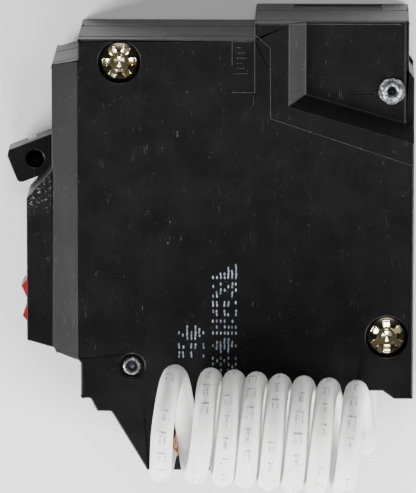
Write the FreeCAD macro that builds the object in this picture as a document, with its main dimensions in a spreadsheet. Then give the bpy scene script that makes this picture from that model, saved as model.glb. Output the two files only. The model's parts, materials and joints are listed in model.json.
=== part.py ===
"""Plug-in ground-fault circuit breaker, one pole, lying on its side.

Frame: X runs from the front (handle and test button, -X) to the rear (bus jaw, +X),
Y from the load end (-Y) to the line end (+Y), Z across the 1 inch width.  The breaker
half lies at Z = 0, the ground-fault half and its cover on top of it, and the neutral
pigtail is coiled on the cover.  All sizes are in millimetres.
"""
import FreeCAD, Part
import math
import os
import re
import Sketcher

V = FreeCAD.Vector
doc = FreeCAD.newDocument("gfci_breaker")
sheet = doc.addObject("Spreadsheet::Sheet", "dims")

SIZES = {
    # whole breaker
    "case_length": 82.7,
    "case_depth": 70.5,
    "case_width": 25.4,
    "rear_reach": 37.45,
    "wall": 1.5,
    "corner_round": 0.3,
    "seam_chamfer": 0.25,
    "clearance": 0.3,
    "pin_clearance": 0.05,
    # split of the width into breaker half, ground-fault half and cover
    "breaker_half": 9.0,
    "cover_depth": 3.6,
    "cover_plate": 2.0,
    # front: nose, sloping shoulder band and steps down to the load end
    "nose_reach": 4.65,
    "nose_top": 8.75,
    "nose_shoulder": 13.95,
    "nose_foot": -17.5,
    "nose_draft": 1.4,
    "band_width": 4.75,
    "band_drop": 1.8,
    "shoulder_top": 33.4,
    "shoulder_rise": 1.1,
    "shoulder_foot": -19.6,
    "shoulder_draft": 1.3,
    "waist_inset": 9.85,
    "waist_foot_up": 13.35,
    "toe_inset": 15.35,
    "toe_up": 10.95,
    "slant_inset": 21.95,
    # line end and load end
    "line_step": 3.0,
    "line_block": 29.0,
    "line_panel_depth": 0.3,
    "rear_step": 1.0,
    "rear_step_down": 10.55,
    "load_step_up": 14.95,
    "load_step_length": 10.45,
    "load_slant": 6.0,
    "foot_length": 5.55,
    "foot_drop": 1.5,
    # recess in the cover
    "recess_length": 22.8,
    "recess_wall": 3.1,
    "recess_depth": 2.6,
    "recess_down": 15.3,
    "recess_fall": 6.65,
    "recess_lip": 1.7,
    # cover screws
    "screw_head_radius": 3.72,
    "screw_head_rise": 1.55,
    "star_core_radius": 1.6,
    "star_reach": 2.0,
    "star_lobe_radius": 0.68,
    "screw_shank_radius": 1.5,
    "screw_length": 11.0,
    "screw_sink": 1.75,
    "screw_post_radius": 3.1,
    "line_screw_inset": 17.0,
    "line_screw_down": 7.2,
    "load_screw_inset": 4.85,
    "load_screw_up": 25.0,
    # tubular rivets
    "rivet_radius": 1.25,
    "rivet_head_radius": 3.0,
    "rivet_head_rise": 1.0,
    "rivet_sink": 0.9,
    "rivet_post_radius": 2.2,
    "load_rivet_inset": 19.2,
    "load_rivet_up": 19.35,
    "load_rivet_ring": 1.68,
    "load_rivet_bore": 0.9,
    "line_rivet_inset": 4.1,
    "line_rivet_down": 12.7,
    "line_rivet_ring": 2.45,
    "line_rivet_bore": 0.75,
    "rivet_ring_rise": 0.6,
    # handle
    "handle_pivot_inset": 7.33,
    "handle_pivot_y": 17.9,
    "handle_tilt": 21.3,
    "handle_swing": 42.0,
    "handle_reach": 16.5,
    "handle_height": 6.48,
    "handle_drum": 7.1,
    "handle_hole_reach": 11.9,
    "handle_hole_radius": 1.65,
    "handle_hole_web": 1.0,
    "handle_notch": 1.8,
    "pin_radius": 1.2,
    "arm_pin_radius": 0.9,
    "arm_pin_throw": 5.0,
    # contact arm and contacts
    "arm_thickness": 1.6,
    "spring_reach": 14.0,
    "arm_lift": 2.4,
    "arm_half_width": 2.2,
    "arm_hub_radius": 2.4,
    "arm_drop": 12.0,
    "arm_closed": 7.0,
    "contact_from_rear": 27.45,
    "contact_radius": 1.9,
    "contact_rise": 1.2,
    # jaw and line strap
    "strap_thickness": 1.2,
    "jaw_length": 11.6,
    "jaw_down": 7.55,
    "jaw_half_height": 2.8,
    "jaw_pinch": 1.2,
    "jaw_metal": 0.8,
    "jaw_width": 6.4,
    "jaw_flare": 4.2,
    "jaw_upper_flare": 3.2,
    "rear_window": 10.4,
    # trip unit
    "trip_pivot_inset": 16.4,
    "trip_pivot_y": 4.0,
    "trip_plate": 1.4,
    "trip_half_width": 0.9,
    "armature_from_rear": 29.45,
    "armature_thickness": 1.2,
    "armature_foot": -11.0,
    "armature_head": 6.2,
    "yoke_gap": 1.8,
    "bimetal_from_rear": 24.05,
    "bimetal_thickness": 1.0,
    "bimetal_foot_up": 15.35,
    # terminals
    "lug_from_front": 24.05,
    "lug_depth": 9.0,
    "lug_up": 1.85,
    "lug_length": 8.5,
    "lug_height": 6.2,
    "lug_roof": 3.0,
    "wire_bore_radius": 2.3,
    "lug_screw_radius": 2.0,
    "lug_screw_head": 2.6,
    "wire_entry": 6.2,
    # ground-fault half
    "board_gap": 1.5,
    "board_width": 31.0,
    "board_length": 44.0,
    "board_thickness": 1.6,
    "board_down": 10.85,
    "core_radius": 10.0,
    "core_bore": 4.5,
    "core_rise": 3.6,
    "core_lift": 2.7,
    "core_from_rear": 18.95,
    "core_y": -11.5,
    "conductor_radius": 1.3,
    "conductor_offset": 1.3,
    "solenoid_y": 5.2,
    "solenoid_lift": 6.0,
    "coil_radius": 5.2,
    "coil_length": 16.0,
    "plunger_radius": 2.4,
    "plunger_travel": 1.6,
    # test button
    "button_y": -10.85,
    "button_span": 7.9,
    "button_width": 7.0,
    "button_lift": 7.3,
    "button_ridge": 1.25,
    "button_stem": 1.5,
    # neutral pigtail
    "lead_radius": 2.0,
    "lead_exit_inset": 8.55,
    "grommet_lip": 1.2,
    "grommet_wall": 0.6,
    "grommet_collar": 1.0,
    "lead_exit_lift": 6.0,
    "coil_outer_radius": 10.75,
    "coil_span": 38.0,
    "coil_start": -10.0,
    "coil_near_y": -30.0,
    "coil_far_y": -33.0,
    "coil_rise": 10.95,
    "strand_radius": 0.75,
}

for row, (alias, value) in enumerate(SIZES.items(), start=1):
    sheet.set(f"A{row}", str(value))
    sheet.setAlias(f"A{row}", alias)
doc.recompute()

ALIAS = re.compile(r"\b(" + "|".join(sorted(SIZES, key=len, reverse=True)) + r")\b")


def bound(expression):
    """The expression with every named size read from the sheet."""
    return ALIAS.sub(r"dims.\1", expression)


def size(expression):
    """The expression's value in millimetres."""
    return float(sheet.evalExpression(bound(expression)))


# Faces and levels that many pieces share.
FRONT = "(rear_reach - case_depth)"
SHOULDER = f"({FRONT} + nose_reach)"
TOP = "(case_length / 2)"
BOTTOM = "(-case_length / 2)"
REAR = "rear_reach"
FLOOR = "wall"
DECK = "(breaker_half + wall)"
COVER_FOOT = "(case_width - cover_depth)"
RECESS_FLOOR = "(case_width - recess_depth)"

sub_parts = []


def keep(item, label):
    """Name a finished sub-part; the label is its node and file name."""
    item.Label = label
    sub_parts.append(item)
    return item


def place(item, x="0", y="0", z="0", turn="0", axis=V(0, 0, 1)):
    """Bind an object's placement to expressions."""
    item.Placement = FreeCAD.Placement(V(), FreeCAD.Rotation(axis, size(turn)))
    if turn != "0":
        item.setExpression("Placement.Rotation.Angle", bound(turn))
    for letter, expression in zip("xyz", (x, y, z)):
        item.setExpression(f"Placement.Base.{letter}", bound(expression))
    return item


def box(name, low, lengths):
    item = doc.addObject("Part::Box", name)
    for key, expression in zip(("Length", "Width", "Height"), lengths):
        item.setExpression(key, bound(expression))
    return place(item, *low)


TURNS = {"X": (V(0, 1, 0), "90"), "Y": (V(1, 0, 0), "-90"), "Z": (V(0, 0, 1), "0")}


def rod(name, foot, radius, length, along="Z"):
    """A cylinder that starts at foot and runs towards + its axis."""
    item = doc.addObject("Part::Cylinder", name)
    item.setExpression("Radius", bound(radius))
    item.setExpression("Height", bound(length))
    axis, turn = TURNS[along]
    return place(item, *foot, turn=turn, axis=axis)


def fuse(name, *items):
    item = doc.addObject("Part::MultiFuse", name)
    item.Shapes = list(items)
    return item


def cut(name, base, *tools):
    item = doc.addObject("Part::Cut", name)
    item.Base = base
    item.Tool = tools[0] if len(tools) == 1 else fuse(name + "_tools", *tools)
    return item


def group(name, *items):
    """Identical loose solids that share one node."""
    item = doc.addObject("Part::Compound", name)
    item.Links = list(items)
    return item


def body(name):
    return doc.addObject("PartDesign::Body", name)


def sketch(owner, name, plane="XY_Plane", offset="0"):
    item = owner.newObject("Sketcher::SketchObject", name)
    planes = [f for f in owner.Origin.OriginFeatures if f.Role == plane]
    item.AttachmentSupport = [(planes[0], "")]
    item.MapMode = "FlatFace"
    item.setExpression("AttachmentOffset.Base.z", bound(offset))
    return item


def constrain(item, kind, targets, expression):
    index = item.addConstraint(Sketcher.Constraint(kind, *targets, size(expression)))
    item.setExpression(f"Constraints[{index}]", bound(expression))


def polygon(item, points):
    """A closed outline whose corners are bound to the sheet."""
    corners = [V(size(x), size(y), 0) for x, y in points]
    first = item.GeometryCount
    count = len(points)
    for index, corner in enumerate(corners):
        item.addGeometry(Part.LineSegment(corner, corners[(index + 1) % count]), False)
    for index in range(count):
        following = first + (index + 1) % count
        item.addConstraint(Sketcher.Constraint("Coincident", first + index, 2, following, 1))
    for index, (x, y) in enumerate(points):
        constrain(item, "DistanceX", (first + index, 1), x)
        constrain(item, "DistanceY", (first + index, 1), y)


def rectangle(item, x_low, y_low, x_high, y_high):
    polygon(item, [(x_low, y_low), (x_high, y_low), (x_high, y_high), (x_low, y_high)])


def circle(item, x, y, radius):
    centre = V(size(x), size(y), 0)
    index = item.addGeometry(Part.Circle(centre, V(0, 0, 1), size(radius)), False)
    constrain(item, "Radius", (index,), radius)
    constrain(item, "DistanceX", (index, 3), x)
    constrain(item, "DistanceY", (index, 3), y)


def pad(owner, profile, length, backwards=False):
    item = owner.newObject("PartDesign::Pad", profile.Name + "_pad")
    item.Profile = profile
    item.Reversed = backwards
    item.setExpression("Length", bound(length))
    return item


def pocket(owner, profile, depth, upwards=False):
    """Cut against the sketch's normal, or along it when upwards is set."""
    item = owner.newObject("PartDesign::Pocket", profile.Name + "_pocket")
    item.Profile = profile
    item.Reversed = upwards
    item.setExpression("Length", bound(depth))
    return item


def through(owner, name, plane, offset, depth, draw, upwards=False):
    """A pocket drawn by a function on a fresh sketch; it has to take material away."""
    before = owner.Shape.Volume
    profile = sketch(owner, name, plane, offset)
    draw(profile)
    result = pocket(owner, profile, depth, upwards)
    doc.recompute()
    if result.Shape.isNull() or result.Shape.Volume >= before:
        raise ValueError(f"pocket {name} cuts nothing")
    return result


def edges(shape, wanted):
    return [f"Edge{i}" for i, edge in enumerate(shape.Edges, start=1) if wanted(edge)]


def rim(shape, level):
    """The outer edges of the flat face at one level."""
    names = []
    for face in shape.Faces:
        flat = abs(face.BoundBox.ZMax - face.BoundBox.ZMin) < 1e-6
        if flat and abs(face.BoundBox.ZMax - level) < 1e-6:
            outer = face.OuterWire.Edges
            names += edges(shape, lambda edge: any(edge.isSame(other) for other in outer))
    return names


def is_upright(edge):
    return edge.Length > 3 and abs(edge.tangentAt(edge.FirstParameter).z) > 0.99


# ---------------------------------------------------------------- housing outline

WAIST = f"({FRONT} + waist_inset)"
LOAD_STEP = f"({BOTTOM} + load_step_up)"

load_side = [
    (WAIST, "shoulder_foot - shoulder_draft - 2 * corner_round"),
    (WAIST, f"{BOTTOM} + waist_foot_up"),
    (f"{WAIST} + wall + 0.2", f"{BOTTOM} + waist_foot_up"),
    (f"{WAIST} + 2 * wall", f"{BOTTOM} + toe_up"),
    (f"{FRONT} + toe_inset", f"{BOTTOM} + toe_up"),
    (f"{FRONT} + slant_inset", BOTTOM),
    (f"{REAR} - load_step_length - load_slant", BOTTOM),
    (f"{REAR} - load_step_length", LOAD_STEP),
    (f"{REAR} - foot_length", LOAD_STEP),
    (f"{REAR} - foot_length + 1.4 * foot_drop", f"{LOAD_STEP} - foot_drop"),
    (REAR, f"{LOAD_STEP} - foot_drop"),
]
rear_side = [
    (REAR, f"{TOP} - rear_step_down"),
    (f"{REAR} - rear_step", f"{TOP} - rear_step_down + 1.5 * rear_step"),
    (f"{REAR} - rear_step", TOP),
    (f"{REAR} - line_block", TOP),
    (f"{REAR} - line_block", f"{TOP} - line_step"),
    (f"{SHOULDER} + band_width", f"{TOP} - line_step"),
    (f"{SHOULDER} + band_width", "shoulder_top + shoulder_rise"),
    (SHOULDER, "shoulder_top"),
]
shoulder_foot_side = [
    (f"{SHOULDER} + 2 * corner_round", "shoulder_foot"),
    (f"{SHOULDER} + band_width", "shoulder_foot - shoulder_draft"),
]
nose_outline = (
    [(FRONT, "nose_foot"), (f"{SHOULDER} + corner_round", "nose_foot - nose_draft")]
    + shoulder_foot_side
    + load_side
    + rear_side
    + [(SHOULDER, "nose_shoulder"), (FRONT, "nose_top")]
)
plain_outline = (
    [(SHOULDER, "shoulder_foot + 2 * corner_round")] + shoulder_foot_side + load_side + rear_side
)


def bay(front, inner_foot):
    """The hollow inside the walls, from the front plane given to the rear wall."""
    return [
        (f"{front} + wall", f"{inner_foot} + wall"),
        (f"{WAIST} + wall", "shoulder_foot - shoulder_draft + wall"),
        (f"{WAIST} + wall", f"{BOTTOM} + waist_foot_up + wall"),
        (f"{FRONT} + toe_inset + wall", f"{BOTTOM} + toe_up + wall"),
        (f"{FRONT} + slant_inset + 0.6 * wall", f"{BOTTOM} + wall"),
        (f"{REAR} - load_step_length - load_slant - 0.7 * wall", f"{BOTTOM} + wall"),
        (f"{REAR} - load_step_length - 0.7 * wall", f"{LOAD_STEP} + wall"),
        (f"{REAR} - wall", f"{LOAD_STEP} + wall"),
        (f"{REAR} - wall", f"{TOP} - rear_step_down - 0.3 * wall"),
        (f"{REAR} - rear_step - wall", f"{TOP} - rear_step_down + 1.2 * rear_step"),
        (f"{REAR} - rear_step - wall", f"{TOP} - wall"),
        (f"{REAR} - line_block + wall", f"{TOP} - wall"),
        (f"{REAR} - line_block + wall", f"{TOP} - line_step - wall"),
        (f"{SHOULDER} + band_width + wall", f"{TOP} - line_step - wall"),
        (f"{SHOULDER} + band_width + wall", "shoulder_top - 0.2 * wall"),
        (f"{SHOULDER} + wall", "shoulder_top - wall"),
    ]


plain_bay = bay(SHOULDER, "shoulder_foot")
nose_bay = bay(FRONT, "nose_foot - 0.3 * wall") + [
    (f"{SHOULDER} + wall", "nose_shoulder - 0.6 * wall"),
    (f"{FRONT} + wall", "nose_top - 0.6 * wall"),
]

# Fastener places, shared by every layer that they pass through.
LINE_SCREW = (f"({FRONT} + line_screw_inset)", f"({TOP} - line_screw_down)")
LOAD_SCREW = (f"({REAR} - load_screw_inset)", f"({BOTTOM} + load_screw_up)")
LOAD_RIVET = (f"({FRONT} + load_rivet_inset)", f"({BOTTOM} + load_rivet_up)")
LINE_RIVET = (f"({REAR} - line_rivet_inset)", f"({TOP} - line_rivet_down)")
SCREWS = (LINE_SCREW, LOAD_SCREW)
RIVETS = (LOAD_RIVET, LINE_RIVET)

# Terminals: one box lug in each half, wire bore along Y, clamping screw along X.
LUG_X = f"({FRONT} + lug_from_front)"
LUG_Y = f"({BOTTOM} + lug_up)"
WIRE_X = f"({LUG_X} + lug_roof + wire_bore_radius)"
SCREW_Y = f"({LUG_Y} + lug_length / 2)"
LUG_BASE = {"load": f"({FLOOR} + strap_thickness)", "neutral": f"({DECK} + strap_thickness)"}
LUG_MID = {side: f"({base} + lug_height / 2)" for side, base in LUG_BASE.items()}

PIVOT = (f"({SHOULDER} + handle_pivot_inset)", "handle_pivot_y")
SLOT_HALF = (
    "(handle_pivot_inset * tan(handle_tilt)"
    " + handle_height / 2 / cos(handle_tilt) + clearance)"
)
JAW_MID = f"({TOP} - jaw_down)"
CORE = (f"({REAR} - core_from_rear)", "core_y")
HOT_RISE = (f"({CORE[0]} - conductor_offset)", CORE[1])
HOT_DROP = (f"({WIRE_X} + 9.75)", f"({BOTTOM} + bimetal_foot_up)")
ARMATURE_X = f"({REAR} - armature_from_rear)"
LEAD_EXIT = (f"({REAR} - lead_exit_inset)", f"({DECK} + lead_exit_lift - wall)")


def open_terminal(owner, side):
    """The wire entry in the load end and the screwdriver hole in the slanted toe."""
    middle = LUG_MID[side]
    through(
        owner,
        f"{side}_wire_entry",
        "XZ_Plane",
        f"-({BOTTOM} + wall + 1)",
        "wall + 3",
        lambda item: rectangle(
            item,
            f"{WIRE_X} - wire_entry / 2",
            f"{middle} - wire_entry / 2 + 0.1",
            f"{WIRE_X} + wire_entry / 2",
            f"{middle} + wire_entry / 2 - 0.1",
        ),
        upwards=True,
    )
    through(
        owner,
        f"{side}_screw_access",
        "YZ_Plane",
        f"{LUG_X} - 1",
        "lug_from_front - toe_inset + 4",
        lambda item: circle(item, SCREW_Y, middle, "lug_screw_head + clearance"),
    )


def make_breaker_case():
    owner = body("breaker_case")
    outline = sketch(owner, "breaker_outline")
    polygon(outline, plain_outline)
    blank = pad(owner, outline, "breaker_half")
    doc.recompute()
    rounding = owner.newObject("PartDesign::Fillet", "breaker_corners")
    rounding.Base = (blank, edges(blank.Shape, is_upright))
    rounding.setExpression("Radius", bound("corner_round"))
    doc.recompute()
    easing = owner.newObject("PartDesign::Chamfer", "breaker_edges")
    names = rim(rounding.Shape, 0) + rim(rounding.Shape, size("breaker_half"))
    easing.Base = (rounding, names)
    easing.setExpression("Size", bound("seam_chamfer"))
    doc.recompute()
    through(
        owner, "breaker_bay", "XY_Plane", "breaker_half", "breaker_half - wall",
        lambda item: polygon(item, plain_bay),
    )
    through(
        owner, "breaker_band", "XZ_Plane", f"-{TOP} - 1", "case_length + 2",
        lambda item: polygon(item, [
            (f"{SHOULDER} - 1", "-0.1"),
            (f"{SHOULDER} + band_width", "-0.001"),
            (SHOULDER, "wall - 0.2"),
            (f"{SHOULDER} - 1", "wall - 0.2"),
        ]), upwards=True,
    )
    posts = sketch(owner, "breaker_posts", offset=FLOOR)
    for x, y in RIVETS:
        circle(posts, x, y, "rivet_post_radius")
    pad(owner, posts, f"breaker_half - {FLOOR}")
    doc.recompute()
    rib = sketch(owner, "screw_rib", offset=FLOOR)
    rectangle(rib, f"{BRACKET_X} - 2", f"{BOTTOM} + 4", f"{BRACKET_X} + 7", f"{BOTTOM} + 7")
    pad(owner, rib, f"breaker_half - {FLOOR} - clearance")
    doc.recompute()
    through(
        owner, "calibration_hole", "XZ_Plane", f"-({BOTTOM} + 8)", "9",
        lambda item: circle(item, CALIBRATION[0], CALIBRATION[1], "1.5"), upwards=True,
    )
    through(
        owner, "calibration_well", "XZ_Plane", f"-({BOTTOM} + wall)", "wall + 1",
        lambda item: circle(item, CALIBRATION[0], CALIBRATION[1], "2.6"), upwards=True,
    )
    for index, (x, y) in enumerate(RIVETS):
        through(
            owner, f"breaker_rivet_hole_{index}", "XY_Plane", "0", "breaker_half",
            lambda item: circle(item, x, y, "rivet_radius"), upwards=True,
        )
        through(
            owner, f"breaker_rivet_sink_{index}", "XY_Plane", "0", "rivet_head_rise + 0.1",
            lambda item: circle(item, x, y, "rivet_head_radius + 0.2"), upwards=True,
        )
    through(
        owner, "handle_slot", "YZ_Plane", f"{SHOULDER} - 1", "wall + 1.5",
        lambda item: rectangle(
            item, f"{PIVOT[1]} - {SLOT_HALF}", FLOOR, f"{PIVOT[1]} + {SLOT_HALF}", "breaker_half + 1"
        ), upwards=True,
    )
    through(
        owner, "jaw_window", "YZ_Plane", f"{REAR} - rear_step - wall - 0.5", "wall + rear_step + 1",
        lambda item: rectangle(
            item, f"{JAW_MID} - rear_window / 2", FLOOR, f"{JAW_MID} + rear_window / 2", "breaker_half + 1"
        ), upwards=True,
    )
    through(
        owner, "line_panel", "XZ_Plane", f"-{TOP} + line_panel_depth", "1",
        lambda item: rectangle(
            item, f"{REAR} - line_block + 7", "0.9", f"{REAR} - 6", "breaker_half - 1.2"
        ), upwards=False,
    )
    open_terminal(owner, "load")
    return keep(place(owner), "breaker_case")


def make_gfi_case():
    owner = body("gfi_case")
    outline = sketch(owner, "gfi_outline", offset="breaker_half")
    polygon(outline, nose_outline)
    blank = pad(owner, outline, f"{COVER_FOOT} - breaker_half")
    doc.recompute()
    rounding = owner.newObject("PartDesign::Fillet", "gfi_corners")
    rounding.Base = (blank, edges(blank.Shape, is_upright))
    rounding.setExpression("Radius", bound("corner_round"))
    doc.recompute()
    easing = owner.newObject("PartDesign::Chamfer", "gfi_edges")
    names = rim(rounding.Shape, size("breaker_half")) + rim(rounding.Shape, size(COVER_FOOT))
    easing.Base = (rounding, names)
    easing.setExpression("Size", bound("seam_chamfer"))
    doc.recompute()
    through(
        owner, "gfi_bay", "XY_Plane", COVER_FOOT, f"{COVER_FOOT} - {DECK}",
        lambda item: polygon(item, nose_bay),
    )
    posts = sketch(owner, "gfi_posts", offset=f"{DECK} - 0.1")
    for x, y in RIVETS:
        circle(posts, x, y, "rivet_post_radius")
    for x, y in SCREWS:
        circle(posts, x, y, "screw_post_radius")
    pad(owner, posts, f"{COVER_FOOT} - {DECK} + 0.1")
    stands = sketch(owner, "board_stands", offset=f"{DECK} - 0.1")
    for x, y in BOARD_STANDS:
        circle(stands, x, y, "1.6")
    pad(owner, stands, "board_gap + 0.1")
    rests = sketch(owner, "core_rests", offset=f"{DECK} - 0.1")
    for sign in ("-", "+"):
        rectangle(
            rests,
            f"{CORE[0]} {sign} (core_radius - 1.6) - 1.2", f"{CORE[1]} - 1.5",
            f"{CORE[0]} {sign} (core_radius - 1.6) + 1.2", f"{CORE[1]} + 1.5",
        )
    pad(owner, rests, "core_lift + 0.1")
    rib = sketch(owner, "button_rib", offset=f"{DECK} - 0.1")
    rectangle(
        rib, f"{BUTTON_RIB} - 0.75", "button_y - 3", f"{BUTTON_RIB} + 0.75", "button_y + 3"
    )
    pad(owner, rib, "button_lift + 2.6")
    doc.recompute()
    for index, (x, y) in enumerate(RIVETS):
        through(
            owner, f"gfi_rivet_hole_{index}", "XY_Plane", "breaker_half", "case_width",
            lambda item: circle(item, x, y, "rivet_radius"), upwards=True,
        )
    for index, (x, y) in enumerate(SCREWS):
        through(
            owner, f"gfi_screw_hole_{index}", "XY_Plane", COVER_FOOT, "screw_length - 1",
            lambda item: circle(item, x, y, "screw_shank_radius"),
        )
    through(
        owner, "button_stem_hole", "YZ_Plane", f"{BUTTON_RIB} - 2", "4",
        lambda item: circle(item, "button_y", BUTTON_Z, "button_stem + 0.15"), upwards=True,
    )
    through(
        owner, "button_window", "YZ_Plane", f"{FRONT} - 1", "wall + 1.5",
        lambda item: rectangle(
            item,
            "button_y - button_span / 2 - clearance / 2",
            f"{BUTTON_Z} - button_width / 2 - clearance / 2",
            "button_y + button_span / 2 + clearance / 2",
            f"{BUTTON_Z} + button_width / 2 + clearance / 2",
        ), upwards=True,
    )
    for name, (x, y) in (("hot_rise_hole", HOT_RISE), ("hot_drop_hole", HOT_DROP)):
        through(
            owner, name, "XY_Plane", "breaker_half - 1", "wall + 1.5",
            lambda item: circle(item, x, y, "conductor_radius + 0.2"), upwards=True,
        )
    through(
        owner, "finger_slot", "XY_Plane", "breaker_half - 1", "wall + 1.5",
        lambda item: rectangle(
            item, f"{FINGER_X} - clearance", "solenoid_y - 1",
            f"{FINGER_X} + 0.8 + plunger_travel + clearance", "solenoid_y + 1",
        ), upwards=True,
    )
    through(
        owner, "lead_hole", "XZ_Plane", f"-({LOAD_STEP} + wall + 0.5)", "wall + 1",
        lambda item: circle(item, LEAD_EXIT[0], LEAD_EXIT[1], "lead_radius + grommet_wall"), upwards=True,
    )
    open_terminal(owner, "neutral")
    return keep(place(owner), "gfi_case")


def make_gfi_cover():
    owner = body("gfi_cover")
    outline = sketch(owner, "cover_outline", offset=COVER_FOOT)
    polygon(outline, nose_outline)
    blank = pad(owner, outline, "cover_depth")
    doc.recompute()
    rounding = owner.newObject("PartDesign::Fillet", "cover_corners")
    rounding.Base = (blank, edges(blank.Shape, is_upright))
    rounding.setExpression("Radius", bound("corner_round"))
    doc.recompute()
    easing = owner.newObject("PartDesign::Chamfer", "cover_edges")
    names = rim(rounding.Shape, size(COVER_FOOT)) + rim(rounding.Shape, size("case_width"))
    easing.Base = (rounding, names)
    easing.setExpression("Size", bound("seam_chamfer"))
    doc.recompute()
    through(
        owner, "cover_band", "XZ_Plane", f"-{TOP} - 1", "case_length + 2",
        lambda item: polygon(item, [
            (f"{SHOULDER} + band_width", "case_width + 0.001"),
            (f"{FRONT} - 1", "case_width + 0.1"),
            (f"{FRONT} - 1", "case_width - band_drop"),
            (SHOULDER, "case_width - band_drop"),
        ]), upwards=True,
    )
    hollow_side = [
        (f"{WAIST} + 2 * wall", f"{BOTTOM} + waist_foot_up + wall"),
        (f"{FRONT} + toe_inset + 2 * wall", f"{BOTTOM} + toe_up"),
        (f"{FRONT} + slant_inset + wall", f"{BOTTOM} + 2 * wall"),
        (f"{REAR} - load_step_length - load_slant - 2 * wall", f"{BOTTOM} + 2 * wall"),
        (f"{REAR} - load_step_length - wall", f"{LOAD_STEP} + 2 * wall"),
        (f"{REAR} - 2 * wall", f"{LOAD_STEP} + 2 * wall"),
        (f"{REAR} - 2 * wall", f"{TOP} - recess_down - recess_fall - 2 * wall"),
        (f"{REAR} - recess_length - wall", f"{TOP} - recess_down - 2 * wall"),
        (f"{REAR} - recess_length - wall", f"{TOP} - line_step - 2 * wall"),
        (f"{WAIST} + 2 * wall", f"{TOP} - line_step - 2 * wall"),
    ]

    through(
        owner, "cover_hollow", "XY_Plane", COVER_FOOT, "cover_depth - cover_plate",
        lambda item: polygon(item, hollow_side), upwards=True,
    )
    bosses = sketch(owner, "cover_bosses", offset=COVER_FOOT)
    for x, y in SCREWS:
        circle(bosses, x, y, "screw_head_radius + clearance")
    circle(bosses, *LOAD_RIVET, "rivet_post_radius + 0.8")
    pad(owner, bosses, "cover_depth - cover_plate + 0.1")
    recess = owner.newObject("PartDesign::SubtractiveLoft", "cover_recess")
    mouth = sketch(owner, "recess_mouth", offset="case_width")
    polygon(mouth, [
        (f"{REAR} - recess_length", f"{TOP} + 1"),
        (f"{REAR} - recess_length", f"{TOP} - recess_down"),
        (f"{REAR} + 1", f"{TOP} - recess_down - recess_fall * (recess_length + 1) / recess_length"),
        (f"{REAR} + 1", f"{TOP} + 1"),
    ])
    floor = sketch(owner, "recess_floor", offset=RECESS_FLOOR)
    polygon(floor, [
        (f"{REAR} - recess_length + recess_wall", f"{TOP} + 1"),
        (f"{REAR} - recess_length + recess_wall", f"{TOP} - recess_down + 0.6 * recess_wall"),
        (f"{REAR} + 1", f"{TOP} - recess_down - recess_fall + 0.8 * recess_wall"),
        (f"{REAR} + 1", f"{TOP} + 1"),
    ])
    recess.Profile = mouth
    recess.Sections = [floor]
    recess.Ruled = True
    doc.recompute()
    through(
        owner, "recess_lip_step", "XY_Plane", RECESS_FLOOR, "clearance",
        lambda item: rectangle(
            item, f"{REAR} - recess_lip", f"{TOP} - recess_down - recess_fall + recess_wall",
            f"{REAR} + 1", f"{TOP} + 1",
        ),
    )
    for index, (x, y) in enumerate(SCREWS):
        through(
            owner, f"cover_screw_sink_{index}", "XY_Plane", "case_width", "screw_sink",
            lambda item: circle(item, x, y, "screw_head_radius + 0.12"),
        )
        through(
            owner, f"cover_screw_hole_{index}", "XY_Plane", "case_width", "cover_depth + 1",
            lambda item: circle(item, x, y, "screw_shank_radius"),
        )
    for index, (x, y) in enumerate(RIVETS):
        through(
            owner, f"cover_rivet_hole_{index}", "XY_Plane", "case_width", "cover_depth + 1",
            lambda item: circle(item, x, y, "rivet_radius"),
        )
    through(
        owner, "cover_rivet_sink", "XY_Plane", "case_width", "rivet_sink",
        lambda item: circle(item, *LOAD_RIVET, "load_rivet_ring + 0.72"),
    )
    return keep(place(owner), "gfi_cover")


# ---------------------------------------------------------------- fasteners


def make_cover_screws():
    """Pan-head screws with a six-lobe star recess."""
    screws = []
    for index, (x, y) in enumerate(SCREWS):
        seat = "(case_width - screw_sink)"
        head = rod(f"head_{index}", (x, y, seat), "screw_head_radius", "screw_head_rise")
        shank = rod(
            f"shank_{index}", (x, y, f"{seat} - screw_length"), "screw_shank_radius", "screw_length"
        )
        blank = fuse(f"screw_blank_{index}", head, shank)
        doc.recompute()
        dome = doc.addObject("Part::Fillet", f"screw_dome_{index}")
        dome.Base = blank
        top = size(f"{seat} + screw_head_rise")
        rounds = [
            (number, 0.9, 0.9)
            for number, edge in enumerate(blank.Shape.Edges, start=1)
            if abs(edge.BoundBox.ZMin - top) < 1e-6 and edge.Closed
        ]
        dome.Edges = rounds
        core = rod(f"star_core_{index}", (x, y, f"{seat} + 0.4"), "star_core_radius", "screw_head_rise")
        lobes = []
        for lobe in range(6):
            angle = f"{60 * lobe + 15 * index}"
            lobes.append(rod(
                f"star_lobe_{index}_{lobe}",
                (f"{x} + star_reach * cos({angle})", f"{y} + star_reach * sin({angle})", f"{seat} + 0.7"),
                "star_lobe_radius", "screw_head_rise",
            ))
        screws.append(cut(f"cover_screw_{index}", dome, core, *lobes))
    return keep(place(group("cover_screws", *screws)), "cover_screws")


def make_rivets():
    """Tubular rivets: a flat head under the breaker half, a rolled ring on the cover."""
    rivets = []
    tops = (
        ("case_width - rivet_sink", "load_rivet_ring", "load_rivet_bore"),
        (RECESS_FLOOR, "line_rivet_ring", "line_rivet_bore"),
    )
    for index, ((x, y), (seat, ring, bore)) in enumerate(zip(RIVETS, tops)):
        head = rod(f"rivet_head_{index}", (x, y, "0.1"), "rivet_head_radius", "rivet_head_rise")
        shank = rod(f"rivet_shank_{index}", (x, y, "0.1"), "rivet_radius", f"{seat}")
        roll = rod(f"rivet_ring_{index}", (x, y, seat), ring, "rivet_ring_rise")
        blank = fuse(f"rivet_blank_{index}", head, shank, roll)
        hollow = rod(f"rivet_bore_{index}", (x, y, f"{seat} - 4"), bore, "6")
        rivets.append(cut(f"rivet_{index}", blank, hollow))
    return keep(place(group("assembly_rivets", *rivets)), "assembly_rivets")


# ---------------------------------------------------------------- handle and contacts

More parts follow.
